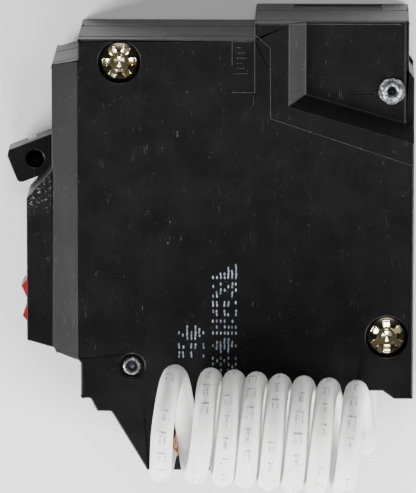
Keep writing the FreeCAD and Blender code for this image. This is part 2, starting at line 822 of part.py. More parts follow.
HANDLE_LOW = f"({FLOOR} + 0.25)"
HANDLE_THICK = "(breaker_half - wall - 0.5)"
ARM_LOW = f"({FLOOR} + arm_lift)"
ARM_PIVOT = (
    f"({PIVOT[0]} + arm_pin_throw * cos(handle_tilt))",
    f"({PIVOT[1]} + arm_pin_throw * sin(handle_tilt))",
)
CONTACT_X = f"({REAR} - contact_from_rear)"
ARM_LENGTH = f"(({CONTACT_X} - {ARM_PIVOT[0]}) / cos(arm_drop))"
# With the handle on, the arm's pin has moved round the handle's pivot.
PIN_ON_Y = f"({PIVOT[1]} + arm_pin_throw * sin(handle_tilt - handle_swing))"
CLOSED_TOP = (
    f"({PIN_ON_Y} + ({ARM_LENGTH} + contact_radius) * sin(arm_closed)"
    " + (arm_half_width + contact_rise) * cos(arm_closed) + clearance)"
)


def make_handle():
    owner = body("handle")
    drum = sketch(owner, "handle_drum_outline")
    circle(drum, "0", "0", "handle_drum")
    pad(owner, drum, HANDLE_THICK)
    lever = sketch(owner, "handle_lever_outline")
    half = "handle_height / 2"
    polygon(lever, [
        ("-2", f"-({half})"),
        ("-2", half),
        ("-(handle_reach - 0.6)", half),
        ("-handle_reach", f"{half} - 1"),
        ("-handle_reach", f"-({half})"),
    ])
    lever_pad = pad(owner, lever, HANDLE_THICK)
    doc.recompute()
    tip = size("-handle_reach")
    low = -size("handle_height / 2")

    def lower_tip(edge):
        middle = edge.BoundBox.Center
        return is_upright(edge) and abs(middle.x - tip) < 0.01 and abs(middle.y - low) < 0.01

    tip_round = owner.newObject("PartDesign::Fillet", "handle_tip_round")
    tip_round.Base = (lever_pad, edges(lever_pad.Shape, lower_tip))
    tip_round.Radius = 1.0
    doc.recompute()
    holes = (
        ("handle_tie_hole", "-handle_hole_reach", "handle_hole_radius", "handle_hole_web"),
        ("handle_pivot_hole", "0", "pin_radius + pin_clearance", "-1"),
        ("handle_arm_hole", "arm_pin_throw", "arm_pin_radius", "-1"),
    )
    for name, x, radius, foot in holes:
        through(
            owner, name, "XY_Plane", foot, "breaker_half + 2",
            lambda item: circle(item, x, "0", radius), upwards=True,
        )
    through(
        owner, "handle_fork", "XY_Plane", f"{ARM_LOW} - {HANDLE_LOW} - 0.25", "arm_thickness + 0.5",
        lambda item: rectangle(
            item, "arm_pin_throw - arm_hub_radius - 0.25", "-handle_drum - 1",
            "handle_drum + 1", "handle_drum + 1",
        ), upwards=True,
    )
    through(
        owner, "handle_thumb_notch", "XY_Plane", "-1", f"{HANDLE_THICK} / 2 + 1",
        lambda item: rectangle(
            item, "-(handle_reach - 5) - handle_notch / 2", f"{half} - 0.7",
            "-(handle_reach - 5) + handle_notch / 2", f"{half} + 1",
        ), upwards=True,
    )
    return keep(place(owner, PIVOT[0], PIVOT[1], HANDLE_LOW, turn="handle_tilt"), "handle")


def make_arm_pin():
    pin = rod("arm_pin", (ARM_PIVOT[0], ARM_PIVOT[1], HANDLE_LOW), "arm_pin_radius", HANDLE_THICK)
    return keep(pin, "arm_pin")


def make_contact_arm():
    hub = rod("arm_hub", ("0", "0", "0"), "arm_hub_radius", "arm_thickness")
    blade = box(
        "arm_blade", ("0", "-arm_half_width", "0"),
        (f"{ARM_LENGTH} + contact_radius + 0.3", "2 * arm_half_width", "arm_thickness"),
    )
    peg = rod("arm_spring_peg", (SPRING_REACH, "0", "0"), "0.8", "arm_thickness + 3")
    hole = rod("arm_hole", ("0", "0", "-1"), "arm_pin_radius + pin_clearance", "arm_thickness + 2")
    arm = cut("contact_arm", fuse("arm_blank", hub, blade, peg), hole)
    place(arm, ARM_PIVOT[0], ARM_PIVOT[1], ARM_LOW, turn="-arm_drop")
    return keep(arm, "contact_arm")


def make_moving_contact():
    """Silver contact: a flat button with a slightly smaller crown."""
    middle = "arm_thickness / 2"
    crown = "0.4"
    button = rod(
        "contact_button", (ARM_LENGTH, "arm_half_width", middle), "contact_radius",
        f"contact_rise - {crown}", along="Y",
    )
    top = rod(
        "contact_crown", (ARM_LENGTH, f"arm_half_width + contact_rise - {crown}", middle),
        "contact_radius - 0.5", crown, along="Y",
    )
    contact = fuse("moving_contact", button, top)
    place(contact, ARM_PIVOT[0], ARM_PIVOT[1], ARM_LOW, turn="-arm_drop")
    return keep(contact, "moving_contact")


def jaw_leaf(jaw_x, neck, mouth, flare):
    """The lower spring leaf of the bus jaw, from its root to its flared mouth and back."""
    return [
        (jaw_x, "-jaw_half_height"),
        (f"{jaw_x} + 0.45 * jaw_length", "-jaw_half_height"),
        (neck, "-jaw_pinch - jaw_metal"),
        (f"{mouth} - 0.6 * jaw_metal", f"-{flare} - jaw_metal"),
        (mouth, f"-{flare}"),
        (f"{neck} + 0.3", "-jaw_pinch"),
        (f"{jaw_x} + 0.45 * jaw_length", "-jaw_half_height + jaw_metal"),
        (f"{jaw_x} + strap_thickness", "-jaw_half_height + jaw_metal"),
    ]


def make_line_side():
    strap_y = f"({CLOSED_TOP} + contact_rise)"
    contact = rod(
        "fixed_contact", (CONTACT_X, CLOSED_TOP, f"{ARM_LOW} + arm_thickness / 2"),
        "contact_radius + 0.2", "contact_rise", along="Y",
    )
    keep(contact, "fixed_contact")
    jaw_x = f"({REAR} - rear_step - wall / 2 - jaw_length)"
    jaw_low = f"({JAW_MID} - jaw_half_height)"
    pad_bar = box(
        "strap_pad", (f"{CONTACT_X} - 2.5", strap_y, f"{FLOOR} + 0.5"),
        (f"{jaw_x} + strap_thickness - {CONTACT_X} + 2.5", "strap_thickness", "5.4"),
    )
    riser = box(
        "strap_riser", (jaw_x, strap_y, f"{FLOOR} + 0.5"),
        ("strap_thickness", f"{jaw_low} - {strap_y}", "3.2"),
    )
    keep(place(fuse("line_strap", pad_bar, riser)), "line_strap")

    jaw = body("line_jaw")
    outline = sketch(jaw, "jaw_outline", offset=f"{FLOOR} + 0.5")
    neck = f"({jaw_x} + 0.78 * jaw_length)"
    lower = jaw_leaf(jaw_x, neck, f"({REAR} - 0.15)", "jaw_flare")
    upper = jaw_leaf(jaw_x, neck, f"({REAR} - rear_step - 0.9)", "jaw_upper_flare")
    upper = [(x, f"-({y})") for x, y in reversed(upper)]
    polygon(outline, [(x, f"{JAW_MID} + ({y})") for x, y in lower + upper])
    pad(jaw, outline, "jaw_width")
    keep(place(jaw), "line_jaw")

    clip = body("jaw_spring")
    shape = sketch(clip, "clip_outline", offset=f"{FLOOR} + 4")
    metal = "0.6"
    run = f"({jaw_x} + 0.42 * jaw_length)"
    outer = f"(jaw_half_height + {metal})"
    back = f"({jaw_x} - {metal})"
    polygon(shape, [
        (run, f"{JAW_MID} - {outer}"),
        (run, f"{JAW_MID} - jaw_half_height"),
        (jaw_x, f"{JAW_MID} - jaw_half_height"),
        (jaw_x, f"{JAW_MID} + jaw_half_height"),
        (run, f"{JAW_MID} + jaw_half_height"),
        (run, f"{JAW_MID} + {outer}"),
        (back, f"{JAW_MID} + {outer}"),
        (back, f"{JAW_MID} - {outer}"),
    ])
    pad(clip, shape, "2.6")
    keep(place(clip), "jaw_spring")


def make_arc_chute():
    """Notched steel plates stacked beside the contact gap, held by a fibre back."""
    low_y = f"({CLOSED_TOP} - 10)"
    front = f"({CONTACT_X} + 3.8)"
    length = "7"
    plates = []
    for index in range(5):
        level = f"({low_y} + {2.1 * index})"
        plate = box(
            f"chute_plate_{index}", (front, level, FLOOR),
            (length, "0.8", "breaker_half - wall - 0.3"),
        )
        notch = doc.addObject("Part::Prism", f"chute_notch_{index}")
        notch.Polygon = 3
        notch.Circumradius = 2.2
        notch.Height = 3
        place(
            notch, f"{front} + 0.6", f"{level} + 2", f"{ARM_LOW} + arm_thickness / 2",
            turn="90", axis=V(1, 0, 0),
        )
        plates.append(cut(f"chute_{index}", plate, notch))
    keep(place(group("arc_chute_plates", *plates)), "arc_chute_plates")
    back = box(
        "arc_chute_back", (f"{front} + {length}", f"{low_y} - 0.5", FLOOR),
        ("0.8", "10.2", "breaker_half - wall - 0.3"),
    )
    keep(back, "arc_chute_back")


# ---------------------------------------------------------------- trip unit

TRIP = (f"({SHOULDER} + trip_pivot_inset)", "trip_pivot_y")
ARMATURE_PIN_Y = "(armature_foot + 1)"
LATCH_X = f"({ARMATURE_X} - 0.8)"
SPRING_REACH = "spring_reach"
SPRING_X = f"({ARM_PIVOT[0]} + {SPRING_REACH} * cos(arm_drop))"
SPRING_TOP = f"({ARM_PIVOT[1]} - {SPRING_REACH} * sin(arm_drop))"
BIMETAL_X = f"({REAR} - bimetal_from_rear)"
BIMETAL_FOOT = f"({BOTTOM} + bimetal_foot_up)"
BRACKET_X = f"({BIMETAL_X} + bimetal_thickness)"
CALIBRATION = (f"({BRACKET_X} + 2.5)", "(breaker_half / 2 + 0.7)")
FINGER_X = f"({ARMATURE_X} - clearance - 0.8)"


def make_pivot_pins():
    """Steel pins between the case floor and the divider."""
    pins = []
    places = (
        (PIVOT, "pin_radius"),
        (TRIP, "arm_pin_radius"),
        ((f"{ARMATURE_X} + armature_thickness / 2", ARMATURE_PIN_Y), "0.4"),
    )
    for index, ((x, y), radius) in enumerate(places):
        pins.append(rod(f"pivot_pin_{index}", (x, y, FLOOR), radius, f"breaker_half - {FLOOR}"))
    return keep(place(group("pivot_pins", *pins)), "pivot_pins")


def make_trip_lever():
    reach = f"({LATCH_X} - {TRIP[0]} - clearance)"
    hub = rod("trip_hub", ("0", "0", "0"), "2", "trip_plate")
    blade = box(
        "trip_blade", ("0", "-trip_half_width", "0"), (reach, "2 * trip_half_width", "trip_plate")
    )
    peg = rod("trip_spring_peg", (f"{SPRING_X} - {TRIP[0]}", "0", "0"), "0.8", "6.2")
    hole = rod("trip_hole", ("0", "0", "-1"), "arm_pin_radius + pin_clearance", "trip_plate + 2")
    lever = cut("trip_lever", fuse("trip_blank", hub, blade, peg), hole)
    place(lever, TRIP[0], TRIP[1], f"{FLOOR} + 0.5")
    return keep(lever, "trip_lever")


def make_toggle_spring():
    tube = rod(
        "toggle_outer", (SPRING_X, f"{TRIP[1]} + 0.85", f"{ARM_LOW} + arm_thickness + 1.55"),
        "1.4", f"{SPRING_TOP} - {TRIP[1]} - 1.75", along="Y",
    )
    core = rod(
        "toggle_core", (SPRING_X, f"{TRIP[1]} - 1", f"{ARM_LOW} + arm_thickness + 1.55"),
        "0.8", f"{SPRING_TOP} - {TRIP[1]} + 2", along="Y",
    )
    return keep(place(cut("toggle_spring", tube, core)), "toggle_spring")


def make_armature():
    """Steel flap with the latch ledge that holds the trip lever's tip."""
    plate = box(
        "armature_plate", (ARMATURE_X, "armature_foot", f"{FLOOR} + 0.5"),
        ("armature_thickness", "armature_head - armature_foot", "breaker_half - wall - 1"),
    )
    ledge = box(
        "armature_ledge", (LATCH_X, f"{TRIP[1]} - trip_half_width - 1", f"{FLOOR} + 0.5"),
        ("0.8", "0.8", "trip_plate"),
    )
    hole = rod(
        "armature_hole", (f"{ARMATURE_X} + armature_thickness / 2", ARMATURE_PIN_Y, FLOOR),
        "0.4 + pin_clearance", "breaker_half",
    )
    blank = fuse("armature_blank", plate, ledge)
    return keep(place(cut("armature", blank, hole)), "armature")


def make_magnet_yoke():
    front = f"({ARMATURE_X} + armature_thickness + yoke_gap)"
    block = box(
        "yoke_block", (front, "armature_foot + 3", f"{FLOOR} + 0.4"),
        (f"{BRACKET_X} + armature_thickness - {front}", "10", "breaker_half - wall - 0.8"),
    )
    hollow = box(
        "yoke_hollow", (f"{front} - 1", "armature_foot + 2", f"{FLOOR} + 1"),
        (f"{BRACKET_X} - {front} + 1", "12", "breaker_half - wall - 2"),
    )
    return keep(place(cut("magnet_yoke", block, hollow)), "magnet_yoke")


def make_bimetal():
    strip = box(
        "bimetal", (BIMETAL_X, BIMETAL_FOOT, f"{FLOOR} + 1.2"),
        ("bimetal_thickness", f"armature_head - {BIMETAL_FOOT}", "breaker_half - wall - 2.4"),
    )
    keep(strip, "bimetal")
    upstand = box(
        "bracket_upstand", (BRACKET_X, f"{BIMETAL_FOOT} - 4", FLOOR),
        ("strap_thickness", "8", "breaker_half - wall - 1"),
    )
    foot = box(
        "bracket_foot", (BRACKET_X, f"{BIMETAL_FOOT} - 4", FLOOR),
        (f"{HOT_RISE[0]} - {BRACKET_X} + 2", f"{HOT_RISE[1]} + 2 - {BIMETAL_FOOT} + 4", "strap_thickness"),
    )
    flange = box(
        "bracket_flange", (BRACKET_X, f"{BIMETAL_FOOT} - 4", FLOOR),
        ("5", "strap_thickness", "breaker_half - wall - 1"),
    )
    keep(place(fuse("bimetal_bracket", upstand, foot, flange)), "bimetal_bracket")
    head_y = f"({BOTTOM} + wall + 0.5)"
    shank = rod(
        "calibration_shank", (CALIBRATION[0], head_y, CALIBRATION[1]), "1.45",
        f"{BIMETAL_FOOT} - 4 - {head_y}", along="Y",
    )
    head = rod(
        "calibration_head", (CALIBRATION[0], head_y, CALIBRATION[1]), "2.3", "1.6", along="Y"
    )
    slot = box(
        "calibration_slot", (f"{CALIBRATION[0]} - 3", f"{head_y} - 1", f"{CALIBRATION[1]} - 0.3"),
        ("6", "1.8", "0.6"),
    )
    screw = cut("calibration_screw", fuse("calibration_blank", shank, head), slot)
    keep(place(screw), "calibration_screw")


def bent_rod(label, corners, radius, turn_limit):
    """Round rod along straight runs joined by tangent arcs; returns its shape and radii."""
    points = [V(*corner) for corner in corners]
    pieces = []
    radii = []
    start = points[0]
    for before, corner, after in zip(points, points[1:], points[2:]):
        entry = (before - corner).normalize()
        leave = (after - corner).normalize()
        turn = math.pi - entry.getAngle(leave)
        shorter = min((before - corner).Length, (after - corner).Length)
        trim = 0.45 * shorter
        if turn_limit is not None:
            trim = min(trim, turn_limit * math.tan(turn / 2))
        bend = trim / math.tan(turn / 2)
        radii.append(round(bend, 2))
        first = corner + entry * trim
        last = corner + leave * trim
        bisector = (entry + leave).normalize()
        centre = corner + bisector * math.hypot(trim, bend)
        middle = centre - bisector * bend
        pieces.append(Part.LineSegment(start, first).toShape())
        pieces.append(Part.Arc(first, middle, last).toShape())
        start = last
    pieces.append(Part.LineSegment(start, points[-1]).toShape())
    path = Part.Wire(pieces)
    direction = points[1] - points[0]
    section = Part.Wire(Part.Circle(points[0], direction, radius).toShape())
    tube = path.makePipeShell([section], True, True)
    ratio = tube.Volume / (math.pi * radius ** 2 * path.Length)
    print(f"{label}: length {path.Length:.1f}, radii {radii}, volume ratio {ratio:.4f}")
    return tube


def rod_feature(label, corners, radius, turn_limit=None):
    """A bent rod as a document object; its corners are expressions."""
    item = doc.addObject("Part::Feature", label)
    places = [tuple(size(value) for value in corner) for corner in corners]
    item.Shape = bent_rod(label, places, size(radius), turn_limit)
    item.Placement = FreeCAD.Placement()
    return keep(item, label)


def make_braid():
    side = f"({ARM_LOW} + arm_thickness + 1.05)"
    rod_feature("flexible_braid", [
        (f"{SPRING_X} + 4.9", f"{SPRING_TOP} - 1", side),
        (f"{SPRING_X} + 8.5", f"{TRIP[1]} + 6", side),
        (f"{BIMETAL_X} - 1", f"{TRIP[1]} + 6", side),
        (f"{BRACKET_X} + 1", f"{TRIP[1]} + 3.5", side),
        (f"{BRACKET_X} + 1", "armature_head - 3.5", side),
    ], "1")


# ---------------------------------------------------------------- terminals and conductors


def make_terminal(side, strap_name, lug_name, screw_name):
    floor = FLOOR if side == "load" else DECK
    base = LUG_BASE[side]
    middle = LUG_MID[side]
    run = f"({HOT_DROP[0]} + 2.2 - {LUG_X})"
    under = box(
        f"{side}_strap_under", (LUG_X, LUG_Y, floor),
        ("lug_depth", "lug_length", "strap_thickness"),
    )
    if side == "load":
        tail = box(
            "load_strap_tail", (f"{HOT_DROP[0]} - 2.2", LUG_Y, floor),
            ("4.4", f"{HOT_DROP[1]} + 2 - {LUG_Y}", "strap_thickness"),
        )
        bridge = box(
            "load_strap_bridge", (LUG_X, LUG_Y, floor), (run, "5", "strap_thickness")
        )
        strap = fuse(strap_name, under, bridge, tail)
    else:
        bridge = box(
            "neutral_strap_bridge", (LUG_X, f"{LUG_Y} + lug_length - 4", floor),
            ("lug_depth + 2", "6", "strap_thickness"),
        )
        strap = fuse(strap_name, under, bridge)
    keep(place(strap), strap_name)
    block = box(
        f"{side}_lug_block", (LUG_X, LUG_Y, base), ("lug_depth", "lug_length", "lug_height")
    )
    wire_bore = rod(
        f"{side}_wire_bore", (WIRE_X, f"{LUG_Y} - 1", middle), "wire_bore_radius",
        "lug_length + 2", along="Y",
    )
    thread = rod(
        f"{side}_thread", (f"{LUG_X} - 1", SCREW_Y, middle),
        "lug_screw_radius + pin_clearance", "lug_roof + 2", along="X",
    )
    keep(place(cut(lug_name, block, wire_bore, thread)), lug_name)
    tip = f"({LUG_X} + lug_roof - 0.2)"
    length = "(lug_roof + 4)"
    shank = rod(
        f"{side}_screw_shank", (f"{tip} - {length}", SCREW_Y, middle), "lug_screw_radius",
        length, along="X",
    )
    head = rod(
        f"{side}_screw_head", (f"{tip} - {length} - 1.4", SCREW_Y, middle), "lug_screw_head",
        "1.4", along="X",
    )
    slot = box(
        f"{side}_screw_slot", (f"{tip} - {length} - 2.4", f"{SCREW_Y} - 3", f"{middle} - 0.4"),
        ("1.9", "6", "0.8"),
    )
    screw = cut(screw_name, fuse(f"{side}_screw_blank", shank, head), slot)
    keep(place(screw), screw_name)


CORE_FOOT = f"({DECK} + core_lift)"
OVER = f"({CORE_FOOT} + 2 * core_rise + conductor_radius + 0.1)"
UNDER = f"({DECK} + conductor_radius + 0.1)"
NEUTRAL_RISE = (f"({CORE[0]} + conductor_offset + 0.2)", CORE[1])
INNER_LEAD_Y = f"({LOAD_STEP} + wall + 0.9)"


def make_conductors():
    foot = f"({FLOOR} + strap_thickness)"
    rod_feature("hot_conductor", [
        (HOT_RISE[0], HOT_RISE[1], foot),
        (HOT_RISE[0], HOT_RISE[1], OVER),
        (HOT_DROP[0], HOT_DROP[1], OVER),
        (HOT_DROP[0], HOT_DROP[1], foot),
    ], "conductor_radius", 2.0)
    start_y = f"({LUG_Y} + lug_length - 1)"
    rod_feature("neutral_conductor", [
        (f"{LUG_X} + lug_depth + 2", start_y, UNDER),
        (f"{HOT_DROP[0]} + 6", start_y, UNDER),
        (NEUTRAL_RISE[0], f"{CORE[1]} - core_radius - 3", UNDER),
        (NEUTRAL_RISE[0], NEUTRAL_RISE[1], UNDER),
        (NEUTRAL_RISE[0], NEUTRAL_RISE[1], OVER),
        (LEAD_EXIT[0], f"{INNER_LEAD_Y} + 4", OVER),
        (LEAD_EXIT[0], f"{INNER_LEAD_Y} + 4", LEAD_EXIT[1]),
        (LEAD_EXIT[0], INNER_LEAD_Y, LEAD_EXIT[1]),
    ], "conductor_radius", 1.9)


# ---------------------------------------------------------------- ground-fault electronics

BOARD_LEFT = f"({SHOULDER} + 2.9)"
BOARD_WIDTH = "board_width"
BOARD_FOOT = f"({TOP} - board_down - board_length)"
BOARD_LEVEL = f"({DECK} + board_gap)"
BOARD_TOP = f"({BOARD_LEVEL} + board_thickness)"
BOARD_STANDS = [
    (f"({BOARD_LEFT} + {dx})", f"({BOARD_FOOT} + {dy})") for dx, dy in ((2, 3), (29, 3), (2, 41), (29, 41))
]


def make_board():
    board = box(
        "circuit_board", (BOARD_LEFT, BOARD_FOOT, BOARD_LEVEL),
        (BOARD_WIDTH, "board_length", "board_thickness"),
    )
    keep(board, "circuit_board")


def on_board(dx, dy, lift="0"):
    return (f"{BOARD_LEFT} + {dx}", f"{BOARD_FOOT} + {dy}", f"{BOARD_TOP} + {lift}")


def make_electronics():
    body_box = box("chip_body", on_board(12, 27, "0.4"), ("9.8", "6.4", "1.6"))
    legs = [
        box(f"chip_leg_{index}", on_board(12.8 + 1.27 * 1.6 * (index % 5), 26 + 7.7 * (index // 5)),
            ("0.7", "0.7", "1.2"))
        for index in range(10)
    ]
    joins = [
        box(f"chip_join_{index}", on_board(12.8 + 1.27 * 1.6 * (index % 5), 26.3 + 6.4 * (index // 5), "0.8"),
            ("0.7", "1.4", "0.4"))
        for index in range(10)
    ]
    keep(place(fuse("controller_chip", body_box, *legs, *joins)), "controller_chip")
    can = rod("can_body", on_board(7, 35), "3", "8")
    bead = cut("filter_capacitor", can, box("can_vent", on_board(4, 34.8, "7.8"), ("6", "0.4", "1")))
    keep(place(bead), "filter_capacitor")
    films = [box(f"film_{index}", on_board(16 + 6 * index, 36), ("4.5", "6", "6")) for index in range(2)]
    keep(place(group("film_capacitors", *films)), "film_capacitors")
    disc = rod("surge_disc", on_board(24, 14, "4.6"), "4.4", "2.6", along="Y")
    leads = [box(f"surge_lead_{index}", on_board(22 + 3.4 * index, 15), ("0.6", "0.6", "2"))
             for index in range(2)]
    keep(place(fuse("surge_suppressor", disc, *leads)), "surge_suppressor")
    round_back = rod("thyristor_round", on_board(27, 27, "1.5"), "2.3", "4.6")
    flat = box("thyristor_flat", on_board(24, 28.4, "1"), ("6", "3", "6"))
    legs = [box(f"thyristor_leg_{index}", on_board(25.5 + 1.27 * index, 26.8), ("0.5", "0.5", "2"))
            for index in range(3)]
    shape = cut("thyristor_case", round_back, flat)
    keep(place(fuse("trip_thyristor", shape, *legs)), "trip_thyristor")
    resistors = [rod(f"resistor_{index}", on_board(13, 6 + 3 * index, "1.1"), "1.1", "6", along="X")
                 for index in range(4)]
    keep(place(group("resistors", *resistors)), "resistors")
    diodes = [rod(f"diode_{index}", on_board(4 + 3.4 * index, 22, "1.2"), "1.2", "4.4", along="Y")
              for index in range(2)]
    keep(place(group("diodes", *diodes)), "diodes")


def make_transformers():
    for index, name in enumerate(("sense_transformer", "neutral_transformer")):
        level = f"({CORE_FOOT} + {index} * core_rise)"
        ring = rod(f"{name}_ring", (CORE[0], CORE[1], level), "core_radius", "core_rise")
        bore = rod(f"{name}_bore", (CORE[0], CORE[1], f"{level} - 1"), "core_bore", "core_rise + 2")
        keep(place(cut(name, ring, bore)), name)


SOLENOID_Z = f"({DECK} + solenoid_lift)"
HEAD_X = f"({FINGER_X} + 0.8)"
FRAME_X = f"({HEAD_X} + 5)"


def make_solenoid():
    plate = "0.9"
    foot = box(
        "frame_foot", (FRAME_X, f"solenoid_y - coil_radius", DECK),
        (f"coil_length + 2 * {plate}", "2 * coil_radius", "0.7"),
    )
    cheeks = [
        box(f"frame_cheek_{index}", (f"{FRAME_X} + {index} * (coil_length + {plate})",
            "solenoid_y - coil_radius", DECK), (plate, "2 * coil_radius", "solenoid_lift + coil_radius"))
        for index in range(2)
    ]
    bore = rod(
        "frame_bore", (f"{FRAME_X} - 1", "solenoid_y", SOLENOID_Z), "plunger_radius + 0.3", "3",
        along="X",
    )
    keep(place(cut("solenoid_frame", fuse("frame_blank", foot, *cheeks), bore)), "solenoid_frame")
    inside = f"({FRAME_X} + {plate})"
    tube = rod("bobbin_tube", (inside, "solenoid_y", SOLENOID_Z), "plunger_radius + 0.9", "coil_length",
               along="X")
    flanges = [
        rod(f"bobbin_flange_{index}", (f"{inside} + {index} * (coil_length - 0.8)", "solenoid_y",
            SOLENOID_Z), "coil_radius - 0.1", "0.8", along="X")
        for index in range(2)
    ]
    hole = rod("bobbin_hole", (f"{inside} - 1", "solenoid_y", SOLENOID_Z), "plunger_radius + 0.3",
               "coil_length + 2", along="X")
    keep(place(cut("solenoid_bobbin", fuse("bobbin_blank", tube, *flanges), hole)), "solenoid_bobbin")
    winding = rod("winding_outer", (f"{inside} + 0.8", "solenoid_y", SOLENOID_Z), "coil_radius - 0.5",
                  "coil_length - 1.6", along="X")
    core = rod("winding_core", (f"{inside} - 1", "solenoid_y", SOLENOID_Z), "plunger_radius + 0.9",
               "coil_length + 2", along="X")
    keep(place(cut("solenoid_coil", winding, core)), "solenoid_coil")
    stem = rod("plunger_stem", (HEAD_X, "solenoid_y", SOLENOID_Z), "plunger_radius",
               "coil_length * 0.85", along="X")
    head = rod("plunger_head", (HEAD_X, "solenoid_y", SOLENOID_Z), "4", "1", along="X")
    keep(place(fuse("plunger", stem, head)), "plunger")
    outer = rod("plunger_spring_outer", (f"{HEAD_X} + 1", "solenoid_y", SOLENOID_Z), "3.5", "4", along="X")
    inner = rod("plunger_spring_inner", (f"{HEAD_X}", "solenoid_y", SOLENOID_Z), "2.8", "6", along="X")
    keep(place(cut("plunger_spring", outer, inner)), "plunger_spring")
    finger = box(
        "trip_finger", (FINGER_X, "solenoid_y - 0.7", f"{FLOOR} + 4.7"),
        ("0.8", "1.4", f"{SOLENOID_Z} - {FLOOR} - 4.7 + 2"),
    )
    keep(finger, "trip_finger")


# ---------------------------------------------------------------- test button

BUTTON_Z = f"({DECK} + button_lift - wall)"
BUTTON_RIB = f"({SHOULDER} + 2.15)"


def make_test_button():
    owner = body("test_button")
    outline = sketch(owner, "button_outline", offset=f"{BUTTON_Z} - button_width / 2")
    low = "button_y - button_span / 2"
    high = "button_y + button_span / 2"
    back = f"({FRONT} + wall + clearance / 2)"
    polygon(outline, [
        (back, low),
        (f"{FRONT} - 0.1", low),
        (f"{FRONT} - 0.8 * button_ridge", f"{low} + 0.14 * button_span"),
        (f"{FRONT} + 0.1", f"{low} + 0.48 * button_span"),
        (f"{FRONT} - button_ridge", f"{high} - 0.16 * button_span"),
        (f"{FRONT} - 0.1", high),
        (back, high),
    ])
    pad(owner, outline, "button_width")
    flange = sketch(owner, "button_flange", "YZ_Plane", offset=back)
    rectangle(
        flange, f"{low} - 0.8", f"{BUTTON_Z} - button_width / 2 - 0.8",
        f"{high} + 0.8", f"{BUTTON_Z} + button_width / 2 + 0.8",
    )
    pad(owner, flange, "1.2")
    stem = sketch(owner, "button_stem_outline", "YZ_Plane", offset=f"{back} + 1")
    circle(stem, "button_y", BUTTON_Z, "button_stem")
    pad(owner, stem, f"{BUTTON_RIB} - {back} + 1.2")
    doc.recompute()
    keep(place(owner), "test_button")
    start = f"({back} + 1.2)"
    length = f"{BUTTON_RIB} - 0.75 - {start}"
    outer = rod("button_spring_outer", (start, "button_y", BUTTON_Z), "2.3", length, along="X")
    inner = rod("button_spring_inner", (f"{start} - 1", "button_y", BUTTON_Z), "1.7", f"{length} + 2",
                along="X")
    keep(place(cut("button_spring", outer, inner)), "button_spring")
    leaf = box(
        "leaf_blade", (f"{BUTTON_RIB} + 2.5", "button_y - 1.5", BOARD_TOP),
        ("0.4", "3", f"{BUTTON_Z} - {BOARD_TOP} + 2"),
    )
    foot = box("leaf_foot", (f"{BUTTON_RIB} + 2.5", "button_y - 1.5", BOARD_TOP), ("3", "3", "0.4"))
    keep(place(fuse("test_contact", leaf, foot)), "test_contact")


# ---------------------------------------------------------------- neutral pigtail

EXIT_Y = LOAD_STEP
COIL_AXIS_Z = "(case_width + coil_rise)"


def make_grommet():
    """Rubber bushing where the pigtail leaves the load end."""
    x, z = LEAD_EXIT
    foot = (x, f"{EXIT_Y} - grommet_lip", z)
    sleeve = rod(
        "grommet_sleeve", foot, "lead_radius + grommet_wall", "wall + grommet_lip", along="Y"
    )
    collar = rod(
        "grommet_collar", foot, "lead_radius + grommet_collar", "grommet_lip", along="Y"
    )
    bore = rod("grommet_bore", (x, f"{EXIT_Y} - 3", z), "lead_radius", "wall + 6", along="Y")
    keep(place(cut("lead_grommet", fuse("grommet_blank", sleeve, collar), bore)), "lead_grommet")


def make_pigtail():
    x = size(LEAD_EXIT[0])
    z = size(LEAD_EXIT[1])
    start = size(INNER_LEAD_Y)
    face = size("case_width")
    route = [
        (x, start, z),
        (x, -34.2, z),
        (28.9, -37.6, face - 4.1),
        (28.8, -34.6, face + 2.3),
        (28.2, -27.5, face + 3.2),
    ]
    lead = doc.addObject("Part::Feature", "pigtail_lead")
    lead.Shape = bent_rod("pigtail_lead", route, size("lead_radius"), None)
    lead.Placement = FreeCAD.Placement()
    keep(lead, "pigtail_lead")

    lean = "atan((coil_far_y - coil_near_y) / coil_span)"
    coil = doc.addObject("Part::Cylinder", "pigtail_coil")
    coil.setExpression("Radius", bound("coil_outer_radius"))
    coil.setExpression("Height", bound("coil_span"))
    turn = FreeCAD.Rotation(V(0, 0, 1), size(lean)).multiply(FreeCAD.Rotation(V(0, 1, 0), 90))
    coil.Placement = FreeCAD.Placement(V(), turn)
    coil.setExpression("Placement.Base.x", bound("coil_start"))
    coil.setExpression("Placement.Base.y", bound("coil_near_y"))
    coil.setExpression("Placement.Base.z", bound(COIL_AXIS_Z))
    keep(coil, "pigtail_coil")

    strands = doc.addObject("Part::Feature", "pigtail_copper_end")
    bundles = []
    for dx, dy in ((0.0, 0.0), (1.5, -1.2)):
        foot = V(-6.6 + dx, -39.2 + dy, face + 2.8)
        way = V(1.3 + 0.5 * dx, 6.2, 0)
        bundles.append(Part.makeCylinder(size("strand_radius"), way.Length, foot, way))
    strands.Shape = Part.makeCompound(bundles)
    strands.Placement = FreeCAD.Placement()
    keep(strands, "pigtail_copper_end")


# ---------------------------------------------------------------- build and export

make_breaker_case()
make_gfi_case()
make_gfi_cover()
make_cover_screws()
make_rivets()
make_handle()
make_arm_pin()
make_contact_arm()
make_moving_contact()
make_line_side()
make_arc_chute()
make_pivot_pins()
make_trip_lever()
make_toggle_spring()
make_armature()
make_magnet_yoke()
make_bimetal()
make_braid()
make_terminal("load", "load_strap", "load_lug", "load_screw")
make_terminal("neutral", "neutral_strap", "neutral_lug", "neutral_screw")
make_conductors()
make_board()
make_electronics()
make_transformers()
make_solenoid()
make_test_button()
make_grommet()
make_pigtail()
doc.recompute()

failed = [item.Name for item in doc.Objects if {"Invalid", "Error"} & set(item.State)]
broken = [part.Label for part in sub_parts if part.Shape.isNull() or not part.Shape.isValid()]
if failed or broken:
    raise SystemExit(f"failed objects {failed}, broken sub-parts {broken}")

